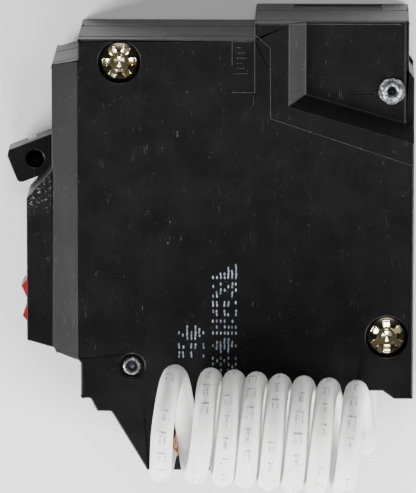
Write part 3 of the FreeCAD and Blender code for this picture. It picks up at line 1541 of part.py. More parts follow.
os.makedirs("parts", exist_ok=True)
for part in sub_parts:
    part.Shape.exportStep(f"parts/{part.Label}.step")
print(len(sub_parts), "sub-parts written")
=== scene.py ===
"""A plug-in ground-fault breaker with its coiled pigtail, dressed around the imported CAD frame."""

import json
import math

import bmesh
import bpy
from mathutils import Matrix, Vector


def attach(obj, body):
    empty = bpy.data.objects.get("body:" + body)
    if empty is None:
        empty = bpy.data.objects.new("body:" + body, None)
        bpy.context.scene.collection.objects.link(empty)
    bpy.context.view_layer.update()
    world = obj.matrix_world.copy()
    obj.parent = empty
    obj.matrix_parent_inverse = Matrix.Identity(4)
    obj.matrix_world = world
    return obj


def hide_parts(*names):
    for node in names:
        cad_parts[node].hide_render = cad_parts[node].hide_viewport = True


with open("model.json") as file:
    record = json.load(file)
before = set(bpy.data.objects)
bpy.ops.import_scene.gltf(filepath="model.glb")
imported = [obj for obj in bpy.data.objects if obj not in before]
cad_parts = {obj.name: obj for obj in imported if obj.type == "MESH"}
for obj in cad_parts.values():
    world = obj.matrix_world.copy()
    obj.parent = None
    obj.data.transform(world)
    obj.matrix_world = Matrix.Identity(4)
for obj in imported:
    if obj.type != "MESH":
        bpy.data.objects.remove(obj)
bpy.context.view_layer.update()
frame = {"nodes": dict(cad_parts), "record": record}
MM = 0.001


def mm(*values):
    """A point given in millimetres, in metres."""
    return Vector([value * MM for value in values])


# Camera ---------------------------------------------------------------------------------------

TARGET = mm(0.04, 0.33, 25.4)
CAMERA_DISTANCE = 1.2
VIEW_HEIGHT = 493 / 5.5 * MM
LEAN = math.radians(10.4)
YAW = math.radians(1.2)


def make_camera():
    """A long lens looking almost straight down on the cover, leaning towards the line end."""
    toward = Vector((math.tan(YAW), math.tan(LEAN), 1)).normalized()
    right = Vector((0, 1, 0)).cross(toward).normalized()
    up = toward.cross(right)
    place = TARGET + toward * CAMERA_DISTANCE
    data = bpy.data.cameras.new("camera")
    data.sensor_width = 36
    data.lens = data.sensor_width * CAMERA_DISTANCE / VIEW_HEIGHT
    data.clip_start = 0.01
    data.clip_end = 20
    camera = bpy.data.objects.new("camera", data)
    turn = Matrix((right, up, toward)).transposed()
    camera.matrix_world = Matrix.Translation(place) @ turn.to_4x4()
    bpy.context.collection.objects.link(camera)
    bpy.context.scene.camera = camera


make_camera()


# Shader expressions ---------------------------------------------------------------------------

class Signal:
    """A number or vector socket that Python's operators combine with Math nodes."""

    def __init__(self, finish, socket):
        self.finish = finish
        self.socket = socket

    def math(self, operation, *others):
        return self.finish.node("ShaderNodeMath", {"operation": operation}, dict(enumerate((self, *others))))

    def reflected(self, operation, other):
        return self.finish.node("ShaderNodeMath", {"operation": operation}, {0: other, 1: self})

    def __add__(self, other):
        return self.math("ADD", other)

    __radd__ = __add__

    def __sub__(self, other):
        return self.math("SUBTRACT", other)

    def __rsub__(self, other):
        return self.reflected("SUBTRACT", other)

    def __mul__(self, other):
        return self.math("MULTIPLY", other)

    __rmul__ = __mul__

    def __truediv__(self, other):
        return self.math("DIVIDE", other)

    def __lt__(self, other):
        return self.math("LESS_THAN", other)

    def __gt__(self, other):
        return self.math("GREATER_THAN", other)

    def __abs__(self):
        return self.math("ABSOLUTE")

    def __pow__(self, other):
        return self.math("POWER", other)

    def smooth(self, low, high):
        """0 below low, 1 above high, and a soft step between."""
        return self.finish.node(
            "ShaderNodeMapRange",
            {"interpolation_type": "SMOOTHSTEP"},
            {"Value": self, "From Min": low, "From Max": high},
        )


class Finish:
    """A material being made, on object coordinates in millimetres."""

    def __init__(self, name):
        self.material = bpy.data.materials.new(name)
        self.material.use_nodes = True
        self.tree = self.material.node_tree
        self.shader = self.tree.nodes["Principled BSDF"]
        raw = self.node("ShaderNodeTexCoord", {}, {}, "Object")
        self.place = self.node("ShaderNodeVectorMath", {"operation": "SCALE"}, {0: raw, "Scale": 1000})
        self.x, self.y, self.z = self.split(self.place)

    def node(self, kind, settings, inputs, output=0):
        """Any node: its settings first, then its sockets' values or links."""
        made = self.tree.nodes.new(kind)
        for name, value in settings.items():
            if name == "stops":
                self.set_stops(made.color_ramp, value)
            else:
                setattr(made, name, value)
        for name, value in inputs.items():
            self.feed(made.inputs[name], value)
        return Signal(self, made.outputs[output])

    def set_stops(self, ramp, stops):
        while len(ramp.elements) < len(stops):
            ramp.elements.new(0.5)
        for element, (position, colour) in zip(ramp.elements, stops):
            element.position = position
            element.color = (*colour, 1)

    def feed(self, socket, value):
        if isinstance(value, Signal):
            self.tree.links.new(value.socket, socket)
        else:
            socket.default_value = value

    def split(self, vector):
        made = self.node("ShaderNodeSeparateXYZ", {}, {"Vector": vector}).socket.node
        return [Signal(self, made.outputs[axis]) for axis in "XYZ"]

    def noise(self, scale, detail=2.0, roughness=0.5, stretch=(1, 1, 1)):
        """Smooth noise with scale features per millimetre, drawn out by stretch."""
        where = self.node("ShaderNodeVectorMath", {"operation": "MULTIPLY"}, {0: self.place, 1: stretch})
        settings = {"Vector": where, "Scale": scale, "Detail": detail, "Roughness": roughness}
        return self.node("ShaderNodeTexNoise", {}, settings, "Fac")

    def cells(self, scale, output="Distance", feature="F1", randomness=1.0, stretch=(1, 1, 1)):
        """Voronoi cells with scale cells per millimetre."""
        where = self.node("ShaderNodeVectorMath", {"operation": "MULTIPLY"}, {0: self.place, 1: stretch})
        settings = {"Vector": where, "Scale": scale, "Randomness": randomness}
        return self.node("ShaderNodeTexVoronoi", {"feature": feature}, settings, output)

    def ramp(self, factor, *stops):
        return self.node("ShaderNodeValToRGB", {"stops": stops}, {"Fac": factor}, "Color")

    def mix(self, factor, first, second):
        """The colour first where factor is 0 and second where it is 1."""
        colours = {0: factor}
        for socket, colour in ((6, first), (7, second)):
            colours[socket] = colour if isinstance(colour, Signal) else (*colour, 1)
        return self.node("ShaderNodeMix", {"data_type": "RGBA"}, colours, 2)

    def bump(self, height, strength, distance=0.05):
        settings = {"Height": height, "Strength": strength, "Distance": distance * MM}
        return self.node("ShaderNodeBump", {}, settings)

    def done(self, **sockets):
        """Feeds the shader's sockets, named with underscores for spaces, and returns the material."""
        for name, value in sockets.items():
            if isinstance(value, tuple):
                value = (*value, 1)
            self.feed(self.shader.inputs[name.replace("_", " ")], value)
        return self.material


# Finishes -------------------------------------------------------------------------------------

def moulded_black(name, tone=0.0038, gloss=0.36, scuffs=0.0, specks=1.0):
    """Black moulded plastic: fine spark-eroded grain, dust specks, hazy streaks and rubbed patches."""
    f = Finish(name)
    grain = f.noise(9, 3, 0.65)
    cloud = f.noise(0.16, 3, 0.6)
    streak = f.noise(1.1, 3, 0.6, (1, 0.12, 1))
    dust_cell = f.cells(1.35)
    dust_pick = f.noise(0.45, 2, 0.5)
    dust = (1 - dust_cell.smooth(0.035, 0.075)) * dust_pick.smooth(0.50, 0.62) * specks
    scratches = (1 - abs(f.noise(0.7, 1, 0.5, (2.6, 0.10, 1)) - 0.5).smooth(0.0, 0.0035)) * (
        f.noise(0.35, 1).smooth(0.56, 0.66)
    )
    rubbed = f.noise(2.3, 4, 0.7).smooth(0.56, 0.74)
    nose = (1 - f.x.smooth(-31.5, -27.0)) * f.y.smooth(5.5, 9.0) * (1 - f.y.smooth(13.6, 15.5))
    chips = rubbed * nose * scuffs
    base = f.mix(cloud.smooth(0.3, 0.7), (tone,) * 3, (tone * 1.5, tone * 1.5, tone * 1.6))
    hazed = f.mix(streak.smooth(0.52, 0.82) * 0.18, base, (0.014, 0.014, 0.0145))
    dusty = f.mix(dust * 0.55 + scratches * 0.25, hazed, (0.42, 0.42, 0.43))
    worn = f.mix(chips, dusty, (0.55, 0.55, 0.55))
    rough = gloss + (cloud - 0.5) * 0.10 + (streak - 0.5) * 0.06 + dust * 0.3
    height = grain + dust * 2.0 - scratches * 2.0
    return f.done(
        Base_Color=worn, Roughness=rough, Normal=f.bump(height, 0.22, 0.03), Specular_IOR_Level=0.22,
    )


def red_plastic(name):
    f = Finish(name)
    cloud = f.noise(0.5, 3)
    dust = (1 - f.cells(2.4).smooth(0.04, 0.10)) * f.noise(0.9, 1).smooth(0.5, 0.6)
    base = f.mix(cloud.smooth(0.3, 0.7), (0.24, 0.006, 0.009), (0.32, 0.010, 0.014))
    colour = f.mix(dust * 0.5, base, (0.55, 0.25, 0.24))
    return f.done(Base_Color=colour, Roughness=0.32 + cloud * 0.15, Normal=f.bump(f.noise(8, 3), 0.15, 0.03),
                  Specular_IOR_Level=0.22)


def plated(name, stops, rough=0.26, metal=1.0, brushed=(1, 1, 1), mottling=0.35):
    """A metal finish whose tint wanders through the given stops."""
    f = Finish(name)
    drift = f.noise(mottling, 3, 0.55)
    fine = f.noise(7, 4, 0.6, brushed)
    pits = (1 - f.cells(3.1).smooth(0.05, 0.16)) * f.noise(1.2, 1).smooth(0.52, 0.64)
    colour = f.mix(pits * 0.5, f.ramp(drift, *stops), (0.10, 0.09, 0.08))
    return f.done(
        Base_Color=colour,
        Metallic=metal,
        Roughness=rough + (fine - 0.5) * 0.22 + pits * 0.25,
        Normal=f.bump(fine - pits, 0.25, 0.02),
    )


SCREWS = ((-16.05, 34.15), (32.6, -16.35))
SCREW_SEAT = 23.65
HEAD_RADIUS = 3.72
DOME_RISE = 1.52
DOME_DROP = 0.62
DOME_POWER = 2.4


def yellow_zinc(name):
    """Yellow chromate over zinc: bright rainbow petals and post, and round them a dome painted near-black as
    painted dark reflection.
    """
    f = Finish(name)
    reach = [((f.x - x) ** 2 + (f.y - y) ** 2) ** 0.5 for x, y in SCREWS]
    radius = reach[0].math("MINIMUM", reach[1])
    dome = (SCREW_SEAT + DOME_RISE) - (radius / HEAD_RADIUS) ** DOME_POWER * DOME_DROP
    # Mask of the dome round the petals; the near-black colour it takes below is painted dark reflection, not
    # the zinc's own tint.
    skin = (f.z - dome).smooth(-0.12, -0.05) * radius.smooth(0.62, 0.80)
    drift = f.noise(0.9, 3, 0.6)
    rainbow = f.ramp(
        drift, (0.30, (0.70, 0.46, 0.14)), (0.42, (0.82, 0.70, 0.34)), (0.52, (0.60, 0.68, 0.48)),
        (0.62, (0.78, 0.46, 0.36)), (0.74, (0.86, 0.76, 0.52)),
    )
    fine = f.noise(6, 4, 0.6)
    # Painted reflection: the dome is coloured near-black to stand in for the dark surroundings it mirrors.
    colour = f.mix(skin, rainbow, (0.085, 0.075, 0.055))
    return f.done(
        Base_Color=colour, Metallic=1.0, Roughness=0.17 + (fine - 0.5) * 0.14 + skin * 0.05,
        Normal=f.bump(fine, 0.2, 0.02),
    )


def painted(name, first, second, rough, scale=0.8, grain=0.15):
    """A dull coloured finish that varies between two near colours."""
    f = Finish(name)
    cloud = f.noise(scale, 4, 0.6)
    fine = f.noise(6, 3, 0.6)
    return f.done(
        Base_Color=f.mix(cloud.smooth(0.3, 0.7), first, second),
        Roughness=rough + (fine - 0.5) * 0.2,
        Normal=f.bump(fine, grain, 0.04),
    )


def wound_wire(name):
    """Enamelled copper winding, its turns drawn as fine ridges."""
    f = Finish(name)
    turns = ((f.y + f.x * 0.35) * 22).math("SINE")
    cloud = f.noise(0.7, 3)
    colour = f.mix(cloud, (0.30, 0.09, 0.03), (0.52, 0.20, 0.07))
    return f.done(
        Base_Color=colour, Metallic=0.7, Roughness=0.3 + cloud * 0.1, Normal=f.bump(turns, 0.5, 0.08),
    )


def circuit_board(name):
    """Green solder mask over copper tracks, with tinned pads."""
    f = Finish(name)
    tracks = f.cells(0.28, "Distance", "DISTANCE_TO_EDGE", 0.55).smooth(0.06, 0.09)
    pads = 1 - f.cells(0.42, "Distance", "F1", 0.6).smooth(0.20, 0.26)
    base = f.mix(tracks, (0.02, 0.14, 0.05), (0.012, 0.085, 0.035))
    return f.done(
        Base_Color=f.mix(pads, base, (0.55, 0.55, 0.52)),
        Metallic=pads * 0.9,
        Roughness=0.35 + f.noise(5, 2) * 0.15,
        Normal=f.bump(pads - tracks, 0.3, 0.05),
    )


LEAD_LENGTH = 0.456
LEAD_DIAMETER = 0.004


def printed_lead(name):
    """White lead insulation with a worn grey row of dashes and dots along it, on the piece's UV map."""
    f = Finish(name)
    uv = f.node("ShaderNodeTexCoord", {}, {}, "UV")
    across_u, across_v, _ = f.split(uv)
    along = across_u * (LEAD_LENGTH / MM)
    past = across_u - 0.45
    outer = (past ** 3) * -1.14 - past * 0.47 - 0.06
    around = ((across_v - outer + 0.5).math("FRACT") - 0.5) * (LEAD_DIAMETER / MM * math.pi)
    pitch = 3.4
    cell = (along / pitch).math("FLOOR")
    within = (along / pitch).math("FRACT")
    chance = f.node("ShaderNodeTexWhiteNoise", {"noise_dimensions": "1D"}, {"W": cell}, "Value")
    other = f.node("ShaderNodeTexWhiteNoise", {"noise_dimensions": "1D"}, {"W": cell + 71.5}, "Value")
    rung = (abs(within - 0.3) < 0.05) * (abs(around) < other * 0.45 + 0.45)
    dash = (abs(abs(around) - other * 0.75) < 0.11) * (abs(within - 0.62) < chance * 0.18 + 0.08)
    shown = chance > 0.22
    worn = f.noise(1.6, 3, 0.7).smooth(0.34, 0.60)
    ink = (rung + dash).smooth(0, 1) * shown * worn
    cloud = f.noise(0.22, 3, 0.5)
    smudge = f.noise(1.4, 4, 0.7).smooth(0.62, 0.80)
    base = f.mix(cloud.smooth(0.3, 0.7), (0.80, 0.79, 0.77), (0.88, 0.88, 0.87))
    soiled = f.mix(smudge * 0.25, base, (0.60, 0.58, 0.55))
    colour = f.mix(ink * 0.95, soiled, (0.20, 0.21, 0.23))
    ripple = f.noise(0.9, 3, 0.6)
    return f.done(
        Base_Color=colour,
        Roughness=0.42 + (cloud - 0.5) * 0.2,
        Subsurface_Weight=0.15,
        Subsurface_Scale=0.0012,
        Normal=f.bump(ripple + f.noise(7, 2) * 0.15, 0.12, 0.15),
    )


finishes = {
    "case_plastic": moulded_black("moulded_case", 0.0038, 0.38),
    "cover_plastic": moulded_black("moulded_cover", 0.0038, 0.36, scuffs=1.0),
    "handle_plastic": moulded_black("moulded_handle", 0.005, 0.34, specks=0.8),
    "button_plastic": red_plastic("red_button"),
    "zinc_screw": yellow_zinc("yellow_zinc"),
    "plain_steel": plated(
        "plain_steel", ((0.35, (0.50, 0.51, 0.53)), (0.65, (0.68, 0.69, 0.70))), 0.30, brushed=(1, 0.2, 1),
    ),
    "rivet_steel": plated(
        "rivet_steel", ((0.35, (0.16, 0.165, 0.175)), (0.65, (0.30, 0.31, 0.33))), 0.42, mottling=1.6,
    ),
    "copper": plated("bare_copper", ((0.35, (0.72, 0.33, 0.18)), (0.65, (0.88, 0.50, 0.32))), 0.28),
    "silver": plated("silver_contact", ((0.35, (0.80, 0.79, 0.76)), (0.65, (0.92, 0.91, 0.89))), 0.32),
    "aluminium": plated(
        "tinned_aluminium", ((0.35, (0.58, 0.59, 0.61)), (0.65, (0.76, 0.77, 0.78))), 0.36,
        brushed=(0.2, 1, 1),
    ),
    "fibre": painted("vulcanised_fibre", (0.17, 0.07, 0.04), (0.25, 0.11, 0.06), 0.7, 0.9, 0.35),
    "board": circuit_board("board_mask"),
    "component_black": painted("moulded_component", (0.012, 0.012, 0.013), (0.022, 0.022, 0.024), 0.55),
    "component_film": painted("dipped_component", (0.42, 0.20, 0.04), (0.55, 0.28, 0.07), 0.35),
    "component_blue": painted("surge_component", (0.02, 0.08, 0.32), (0.03, 0.12, 0.42), 0.35),
    "winding": wound_wire("enamelled_wire"),
    "nylon": painted("nylon_bobbin", (0.66, 0.63, 0.54), (0.76, 0.73, 0.64), 0.45),
    "rubber": painted("rubber_grommet", (0.012, 0.012, 0.012), (0.022, 0.021, 0.020), 0.7, 0.8, 0.3),
    "lead_insulation": printed_lead("white_insulation"),
    # Lighter plastic for the moulded witness lines and bars, and for the painted edge highlights along the
    # top strip.
    "rubbed_plastic": painted("rubbed_plastic", (0.006, 0.006, 0.006), (0.06, 0.06, 0.06), 0.5, 3.0),
    "pale_ink": painted("pale_ink", (0.05, 0.06, 0.08), (0.36, 0.42, 0.50), 0.6, 1.3, 0.3),
    "hot_insulation": painted("black_insulation", (0.012, 0.012, 0.013), (0.020, 0.020, 0.021), 0.5),
}


# Pieces ---------------------------------------------------------------------------------------

def own(name, mesh, finish):
    """A new piece with its mesh already in place."""
    piece = bpy.data.objects.new(name, mesh)
    bpy.context.collection.objects.link(piece)
    piece.data.materials.clear()
    piece.data.materials.append(finish)
    return piece


def plain_mesh(piece):
    """Applies a piece's modifiers, so that only its finished mesh is left."""
    bpy.context.view_layer.update()
    seen = piece.evaluated_get(bpy.context.evaluated_depsgraph_get())
    mesh = bpy.data.meshes.new_from_object(seen)
    if piece.type == "MESH":
        piece.modifiers.clear()
        piece.data = mesh
        return piece
    return mesh


slot_of = {row["node"]: row["material_slot"] for row in frame["record"]["subparts"]}
bodies = frame["record"]["behaviour"]["bodies"]
body_of = {node: body for body, nodes in bodies.items() for node in nodes}

for node, piece in frame["nodes"].items():
    for place in piece.material_slots:
        place.material = finishes[slot_of[node]]
    if not piece.material_slots:
        piece.data.materials.append(finishes[slot_of[node]])

EDGED = {
    "breaker_case": 0.14,
    "gfi_case": 0.14,
    "gfi_cover": 0.16,
    "handle": 0.18,
    "test_button": 0.16,
    "load_lug": 0.10,
    "neutral_lug": 0.10,
    "line_jaw": 0.06,
}
WELD = 0.000002
ROUNDED_FROM = math.radians(28)
NEARLY_FLAT = math.radians(0.1)


def softened(node, width):
    """A merged copy of a CAD node, its sharp edges rounded and its faces shaded flat."""
    shape = bmesh.new()
    shape.from_mesh(frame["nodes"][node].data)
    bmesh.ops.remove_doubles(shape, verts=shape.verts, dist=WELD)
    level = [
        edge for edge in shape.edges
        if len(edge.link_faces) == 2 and edge.calc_face_angle(math.pi) < NEARLY_FLAT
    ]
    bmesh.ops.beautify_fill(shape, faces=shape.faces, edges=level, method="ANGLE")
    for face in shape.faces:
        face.smooth = False
    mesh = bpy.data.meshes.new(f"{node}_moulded")
    shape.to_mesh(mesh)
    shape.free()
    piece = own(f"{node}_moulded", mesh, finishes[slot_of[node]])
    edge = piece.modifiers.new("edge_rounding", "BEVEL")
    edge.width = width * MM
    edge.segments = 2
    edge.limit_method = "ANGLE"
    edge.angle_limit = ROUNDED_FROM
    edge.use_clamp_overlap = False
    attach(piece, body_of[node])
    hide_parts(node)


for node, width in EDGED.items():
    softened(node, width)


# Cover screws and rivets ----------------------------------------------------------------------

def lathe(rows, around):
    """A closed skin of rings, each a list of around points, from one pole to the other."""
    shape = bmesh.new()
    rings = [[shape.verts.new(mm(*point)) for point in row] for row in rows]
    for lower, upper in zip(rings, rings[1:]):
        for index in range(around):
            after = (index + 1) % around
            corners = [lower[index], lower[after], upper[after], upper[index]]
            shape.faces.new(corners)
    for ring in (rings[0], rings[-1]):
        shape.faces.new(ring)
    bmesh.ops.recalc_face_normals(shape, faces=shape.faces)
    mesh = bpy.data.meshes.new("turned")
    shape.to_mesh(mesh)
    shape.free()
    mesh.shade_smooth()
    mesh.set_sharp_from_angle(angle=math.radians(34))
    return mesh


def soft_step(value, low, high):
    share = min(max((value - low) / (high - low), 0), 1)
    return share * share * (3 - 2 * share)


def screw_height(radius, angle):
    """The height of the screw's face above its seat: a dome, six petals and a dimpled post."""
    dome = DOME_RISE - DOME_DROP * (radius / HEAD_RADIUS) ** DOME_POWER
    wave = math.cos(6 * angle)
    petal_end = 1.75 + 1.30 * soft_step(wave, -0.35, 0.35)
    floor = 0.42 + 0.60 * soft_step(radius, 1.35, 3.0)
    inside = 1 - soft_step(radius, petal_end - 0.10, petal_end + 0.10)
    face = dome + (floor - dome) * inside
    post = 0.80 - 0.45 * max(1 - radius / 1.05, 0)
    on_post = 1 - soft_step(radius, 1.18, 1.30)
    return face + (post - face) * on_post


def screw_mesh():
    around = 120
    radii = [0.02, 0.3, 0.6, 0.9, 1.05, 1.18, 1.24, 1.30, 1.4, 1.55]
    radii += [1.65 + 0.06 * step for step in range(26)] + [3.3, 3.45, 3.6, 3.68]
    turns = [2 * math.pi * index / around for index in range(around)]

    def ring(radius, height):
        return [(radius * math.cos(turn), radius * math.sin(turn), height) for turn in turns]

    rows = [
        [(radius * math.cos(turn), radius * math.sin(turn), screw_height(radius, turn)) for turn in turns]
        for radius in radii
    ]
    rows += [ring(HEAD_RADIUS, 0.80), ring(HEAD_RADIUS, 0.0)]
    rows += [ring(1.5, 0.0), ring(1.5, -10.6), ring(1.1, -11.0)]
    return lathe(rows, around)


def rivet_mesh(seat, profile, crush):
    """A tubular rivet: domed far head, shank, and the rolled or crushed ring at its seat."""
    around = 72
    rows = []
    below = ((0.05, 0.1), (1.8, 0.12), (2.7, 0.28), (3.0, 0.7), (3.0, 1.08), (1.25, 1.1), (1.25, seat))
    for number, (radius, height) in enumerate((*below, *((r, seat + z) for r, z in profile))):
        row = []
        for index in range(around):
            turn = 2 * math.pi * index / around
            rough = crush if number > len(below) else 0
            wave = math.sin(5 * turn + radius * 4) + 0.6 * math.sin(11 * turn - radius * 9)
            out = radius * (1 + rough * 0.03 * wave)
            row.append((out * math.cos(turn), out * math.sin(turn), height + rough * 0.07 * wave))
        rows.append(row)
    return lathe(rows, around)


LOAD_ROLL = (
    (1.66, 0.02), (1.70, 0.22), (1.58, 0.46), (1.36, 0.58), (1.14, 0.54), (0.98, 0.34),
    (0.90, 0.05), (0.86, -1.6), (0.50, -1.9), (0.05, -2.0),
)
LINE_ROLL = (
    (2.30, 0.02), (2.43, 0.10), (2.38, 0.24), (2.10, 0.26), (1.90, 0.20), (1.72, 0.30), (1.50, 0.52),
    (1.25, 0.60), (1.02, 0.50), (0.84, 0.30), (0.74, 0.0), (0.70, -1.4), (0.40, -1.7), (0.05, -1.8),
)


def set_tree(name):
    """Geometry nodes: stands a shape on every point of a mesh, turned by the point's own angle."""
    tree = bpy.data.node_groups.new(name, "GeometryNodeTree")
    for label, kind in (("Places", "NodeSocketGeometry"), ("Shape", "NodeSocketObject"),
                        ("Finish", "NodeSocketMaterial")):
        tree.interface.new_socket(label, in_out="INPUT", socket_type=kind)
    tree.interface.new_socket("Set", in_out="OUTPUT", socket_type="NodeSocketGeometry")
    made = {kind: tree.nodes.new(kind) for kind in (
        "NodeGroupInput", "GeometryNodeObjectInfo", "GeometryNodeInputNamedAttribute",
        "ShaderNodeCombineXYZ", "GeometryNodeInstanceOnPoints", "GeometryNodeRealizeInstances",
        "GeometryNodeSetMaterial", "NodeGroupOutput",
    )}
    made["GeometryNodeInputNamedAttribute"].data_type = "FLOAT"
    made["GeometryNodeInputNamedAttribute"].inputs["Name"].default_value = "turn"
    for source, output, target, socket in (
        ("NodeGroupInput", "Places", "GeometryNodeInstanceOnPoints", "Points"),
        ("NodeGroupInput", "Shape", "GeometryNodeObjectInfo", "Object"),
        ("GeometryNodeObjectInfo", "Geometry", "GeometryNodeInstanceOnPoints", "Instance"),
        ("GeometryNodeInputNamedAttribute", "Attribute", "ShaderNodeCombineXYZ", "Z"),
        ("ShaderNodeCombineXYZ", "Vector", "GeometryNodeInstanceOnPoints", "Rotation"),
        ("GeometryNodeInstanceOnPoints", "Instances", "GeometryNodeRealizeInstances", "Geometry"),
        ("GeometryNodeRealizeInstances", "Geometry", "GeometryNodeSetMaterial", "Geometry"),
        ("NodeGroupInput", "Finish", "GeometryNodeSetMaterial", "Material"),
        ("GeometryNodeSetMaterial", "Geometry", "NodeGroupOutput", "Set"),
    ):
        tree.links.new(made[source].outputs[output], made[target].inputs[socket])
    return tree


SET_TREE = set_tree("shape_on_points")


def set_inputs(modifier, **values):
    """Sets a geometry nodes modifier's inputs by their names in the tree."""
    for item in modifier.node_group.interface.items_tree:
        if item.in_out == "INPUT" and item.name in values:
            modifier[item.identifier] = values[item.name]


def standing_set(name, shape, places, turns, finish):
    """Copies of a shape on places in millimetres, as one plain mesh."""
    pattern = bpy.data.objects.new(f"{name}_pattern", shape)
    mesh = bpy.data.meshes.new(name)
    mesh.from_pydata([mm(*place) for place in places], [], [])
    mesh.attributes.new("turn", "FLOAT", "POINT").data.foreach_set("value", turns)
    piece = own(name, mesh, finish)
    copies = piece.modifiers.new("copies", "NODES")
    copies.node_group = SET_TREE
    set_inputs(copies, Shape=pattern, Finish=finish)
    plain_mesh(piece)
    bpy.data.objects.remove(pattern)
    return piece


LOAD_RIVET = (-13.85, -22.0)
LINE_RIVET = (33.35, 28.65)

screws = standing_set(
    "cover_screw_heads", screw_mesh(), [(*place, SCREW_SEAT) for place in SCREWS],
    [math.radians(2), math.radians(31)], finishes["zinc_screw"],
)
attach(screws, "housing")
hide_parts("cover_screws")

rivets = [
    standing_set(
        name, rivet_mesh(seat, roll, crush), [(*place, 0)], [0.0], finishes["rivet_steel"],
    )
    for name, place, seat, roll, crush in (
        ("load_end_rivet", LOAD_RIVET, 24.5, LOAD_ROLL, 0.15),
        ("line_end_rivet", LINE_RIVET, 22.8, LINE_ROLL, 1.0),
    )
]
for rivet in rivets:
    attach(rivet, "housing")
    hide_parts("assembly_rivets")


# Pigtail --------------------------------------------------------------------------------------

EXIT = (28.9, -26.4, 15.0)
ROUTE = (
    (28.9, -26.4, 15.0),
    (28.9, -34.2, 15.0),
    (28.9, -37.6, 21.3),
    (28.8, -34.6, 27.7),
)
FRONT_X = (25.8, 20.7, 16.4, 12.1, 7.8, 3.9, -0.5, -7.8)
TURN_POINTS = 16
COIL_RADIUS = 8.9
TAIL = (
    (-8.4, -39.2, 36.0),
    (-8.2, -39.6, 33.6),
    (-7.8, -38.4, 31.2),
    (-7.5, -36.8, 30.0),
)


def coil_points():
    """The helix from the case end to the free end, a turn at a time."""
    points = []
    ends = (28.2, *FRONT_X)
    for turn, (start, end) in enumerate(zip(ends, ends[1:])):
        first = 0 if turn == 0 else -TURN_POINTS // 2
        steps = range(first, TURN_POINTS // 2)
        for step in steps:
            angle = 2 * math.pi * step / TURN_POINTS
            share = (step - first) / (TURN_POINTS // 2 - first)
            x = start + (end - start) * share
            middle = -30.1 - 2.8 * (x + 8) / 34
            points.append((x, middle + COIL_RADIUS * math.sin(angle), 36.35 - COIL_RADIUS * math.cos(angle)))
    for step in range(TURN_POINTS // 2, TURN_POINTS * 3 // 4):
        angle = 2 * math.pi * step / TURN_POINTS
        x = FRONT_X[-1] - 0.15 * (step - TURN_POINTS // 2)
        points.append((x, -30.1 + COIL_RADIUS * math.sin(angle), 36.35 - COIL_RADIUS * math.cos(angle)))
    return points


def make_pigtail():
    data = bpy.data.curves.new("pigtail_cord", "CURVE")
    data.dimensions = "3D"
    data.bevel_depth = LEAD_DIAMETER / 2
    data.bevel_resolution = 6
    data.resolution_u = 6
    data.use_fill_caps = True
    spline = data.splines.new("NURBS")
    route = [*ROUTE, *coil_points(), *TAIL]
    spline.points.add(len(route) - 1)
    for point, where in zip(spline.points, route):
        point.co = (*mm(*where), 1)
    spline.order_u = 3
    spline.use_endpoint_u = True
    cord = bpy.data.objects.new("pigtail_cord", data)
    bpy.context.collection.objects.link(cord)
    data.materials.append(finishes["lead_insulation"])
    return cord


pigtail = make_pigtail()


def path_tree(name):
    """Geometry nodes: sweeps a round wire along every edge path of a mesh."""
    tree = bpy.data.node_groups.new(name, "GeometryNodeTree")
    for label, kind in (("Paths", "NodeSocketGeometry"), ("Radius", "NodeSocketFloat"),
                        ("Sides", "NodeSocketInt"), ("Finish", "NodeSocketMaterial")):
        tree.interface.new_socket(label, in_out="INPUT", socket_type=kind)
    tree.interface.new_socket("Wires", in_out="OUTPUT", socket_type="NodeSocketGeometry")
    made = {kind: tree.nodes.new(kind) for kind in (
        "NodeGroupInput", "GeometryNodeMeshToCurve", "GeometryNodeCurvePrimitiveCircle",
        "GeometryNodeCurveToMesh", "GeometryNodeSetShadeSmooth", "GeometryNodeRealizeInstances",
        "GeometryNodeSetMaterial", "NodeGroupOutput",
    )}
    made["GeometryNodeCurveToMesh"].inputs["Fill Caps"].default_value = True
    for source, output, target, socket in (
        ("NodeGroupInput", "Paths", "GeometryNodeMeshToCurve", "Mesh"),
        ("NodeGroupInput", "Radius", "GeometryNodeCurvePrimitiveCircle", "Radius"),
        ("NodeGroupInput", "Sides", "GeometryNodeCurvePrimitiveCircle", "Resolution"),
        ("GeometryNodeMeshToCurve", "Curve", "GeometryNodeCurveToMesh", "Curve"),
        ("GeometryNodeCurvePrimitiveCircle", "Curve", "GeometryNodeCurveToMesh", "Profile Curve"),
        ("GeometryNodeCurveToMesh", "Mesh", "GeometryNodeSetShadeSmooth", "Geometry"),
        ("GeometryNodeSetShadeSmooth", "Geometry", "GeometryNodeRealizeInstances", "Geometry"),
        ("GeometryNodeRealizeInstances", "Geometry", "GeometryNodeSetMaterial", "Geometry"),
        ("NodeGroupInput", "Finish", "GeometryNodeSetMaterial", "Material"),
        ("GeometryNodeSetMaterial", "Geometry", "NodeGroupOutput", "Wires"),
    ):
        tree.links.new(made[source].outputs[output], made[target].inputs[socket])
    return tree


WIRE_TREE = path_tree("wire_along_paths")


def wires(name, paths, radius, finish, sides=8):
    """Round wires along paths of points in millimetres, as one plain mesh."""
    points = [mm(*point) for path in paths for point in path]
    edges = []
    start = 0
    for path in paths:
        edges += [(start + index, start + index + 1) for index in range(len(path) - 1)]
        start += len(path)
    mesh = bpy.data.meshes.new(name)
    mesh.from_pydata(points, edges, [])
    piece = own(name, mesh, finish)
    sweep = piece.modifiers.new("sweep", "NODES")
    sweep.node_group = WIRE_TREE
    set_inputs(sweep, Radius=radius * MM, Sides=sides, Finish=finish)
    return plain_mesh(piece)


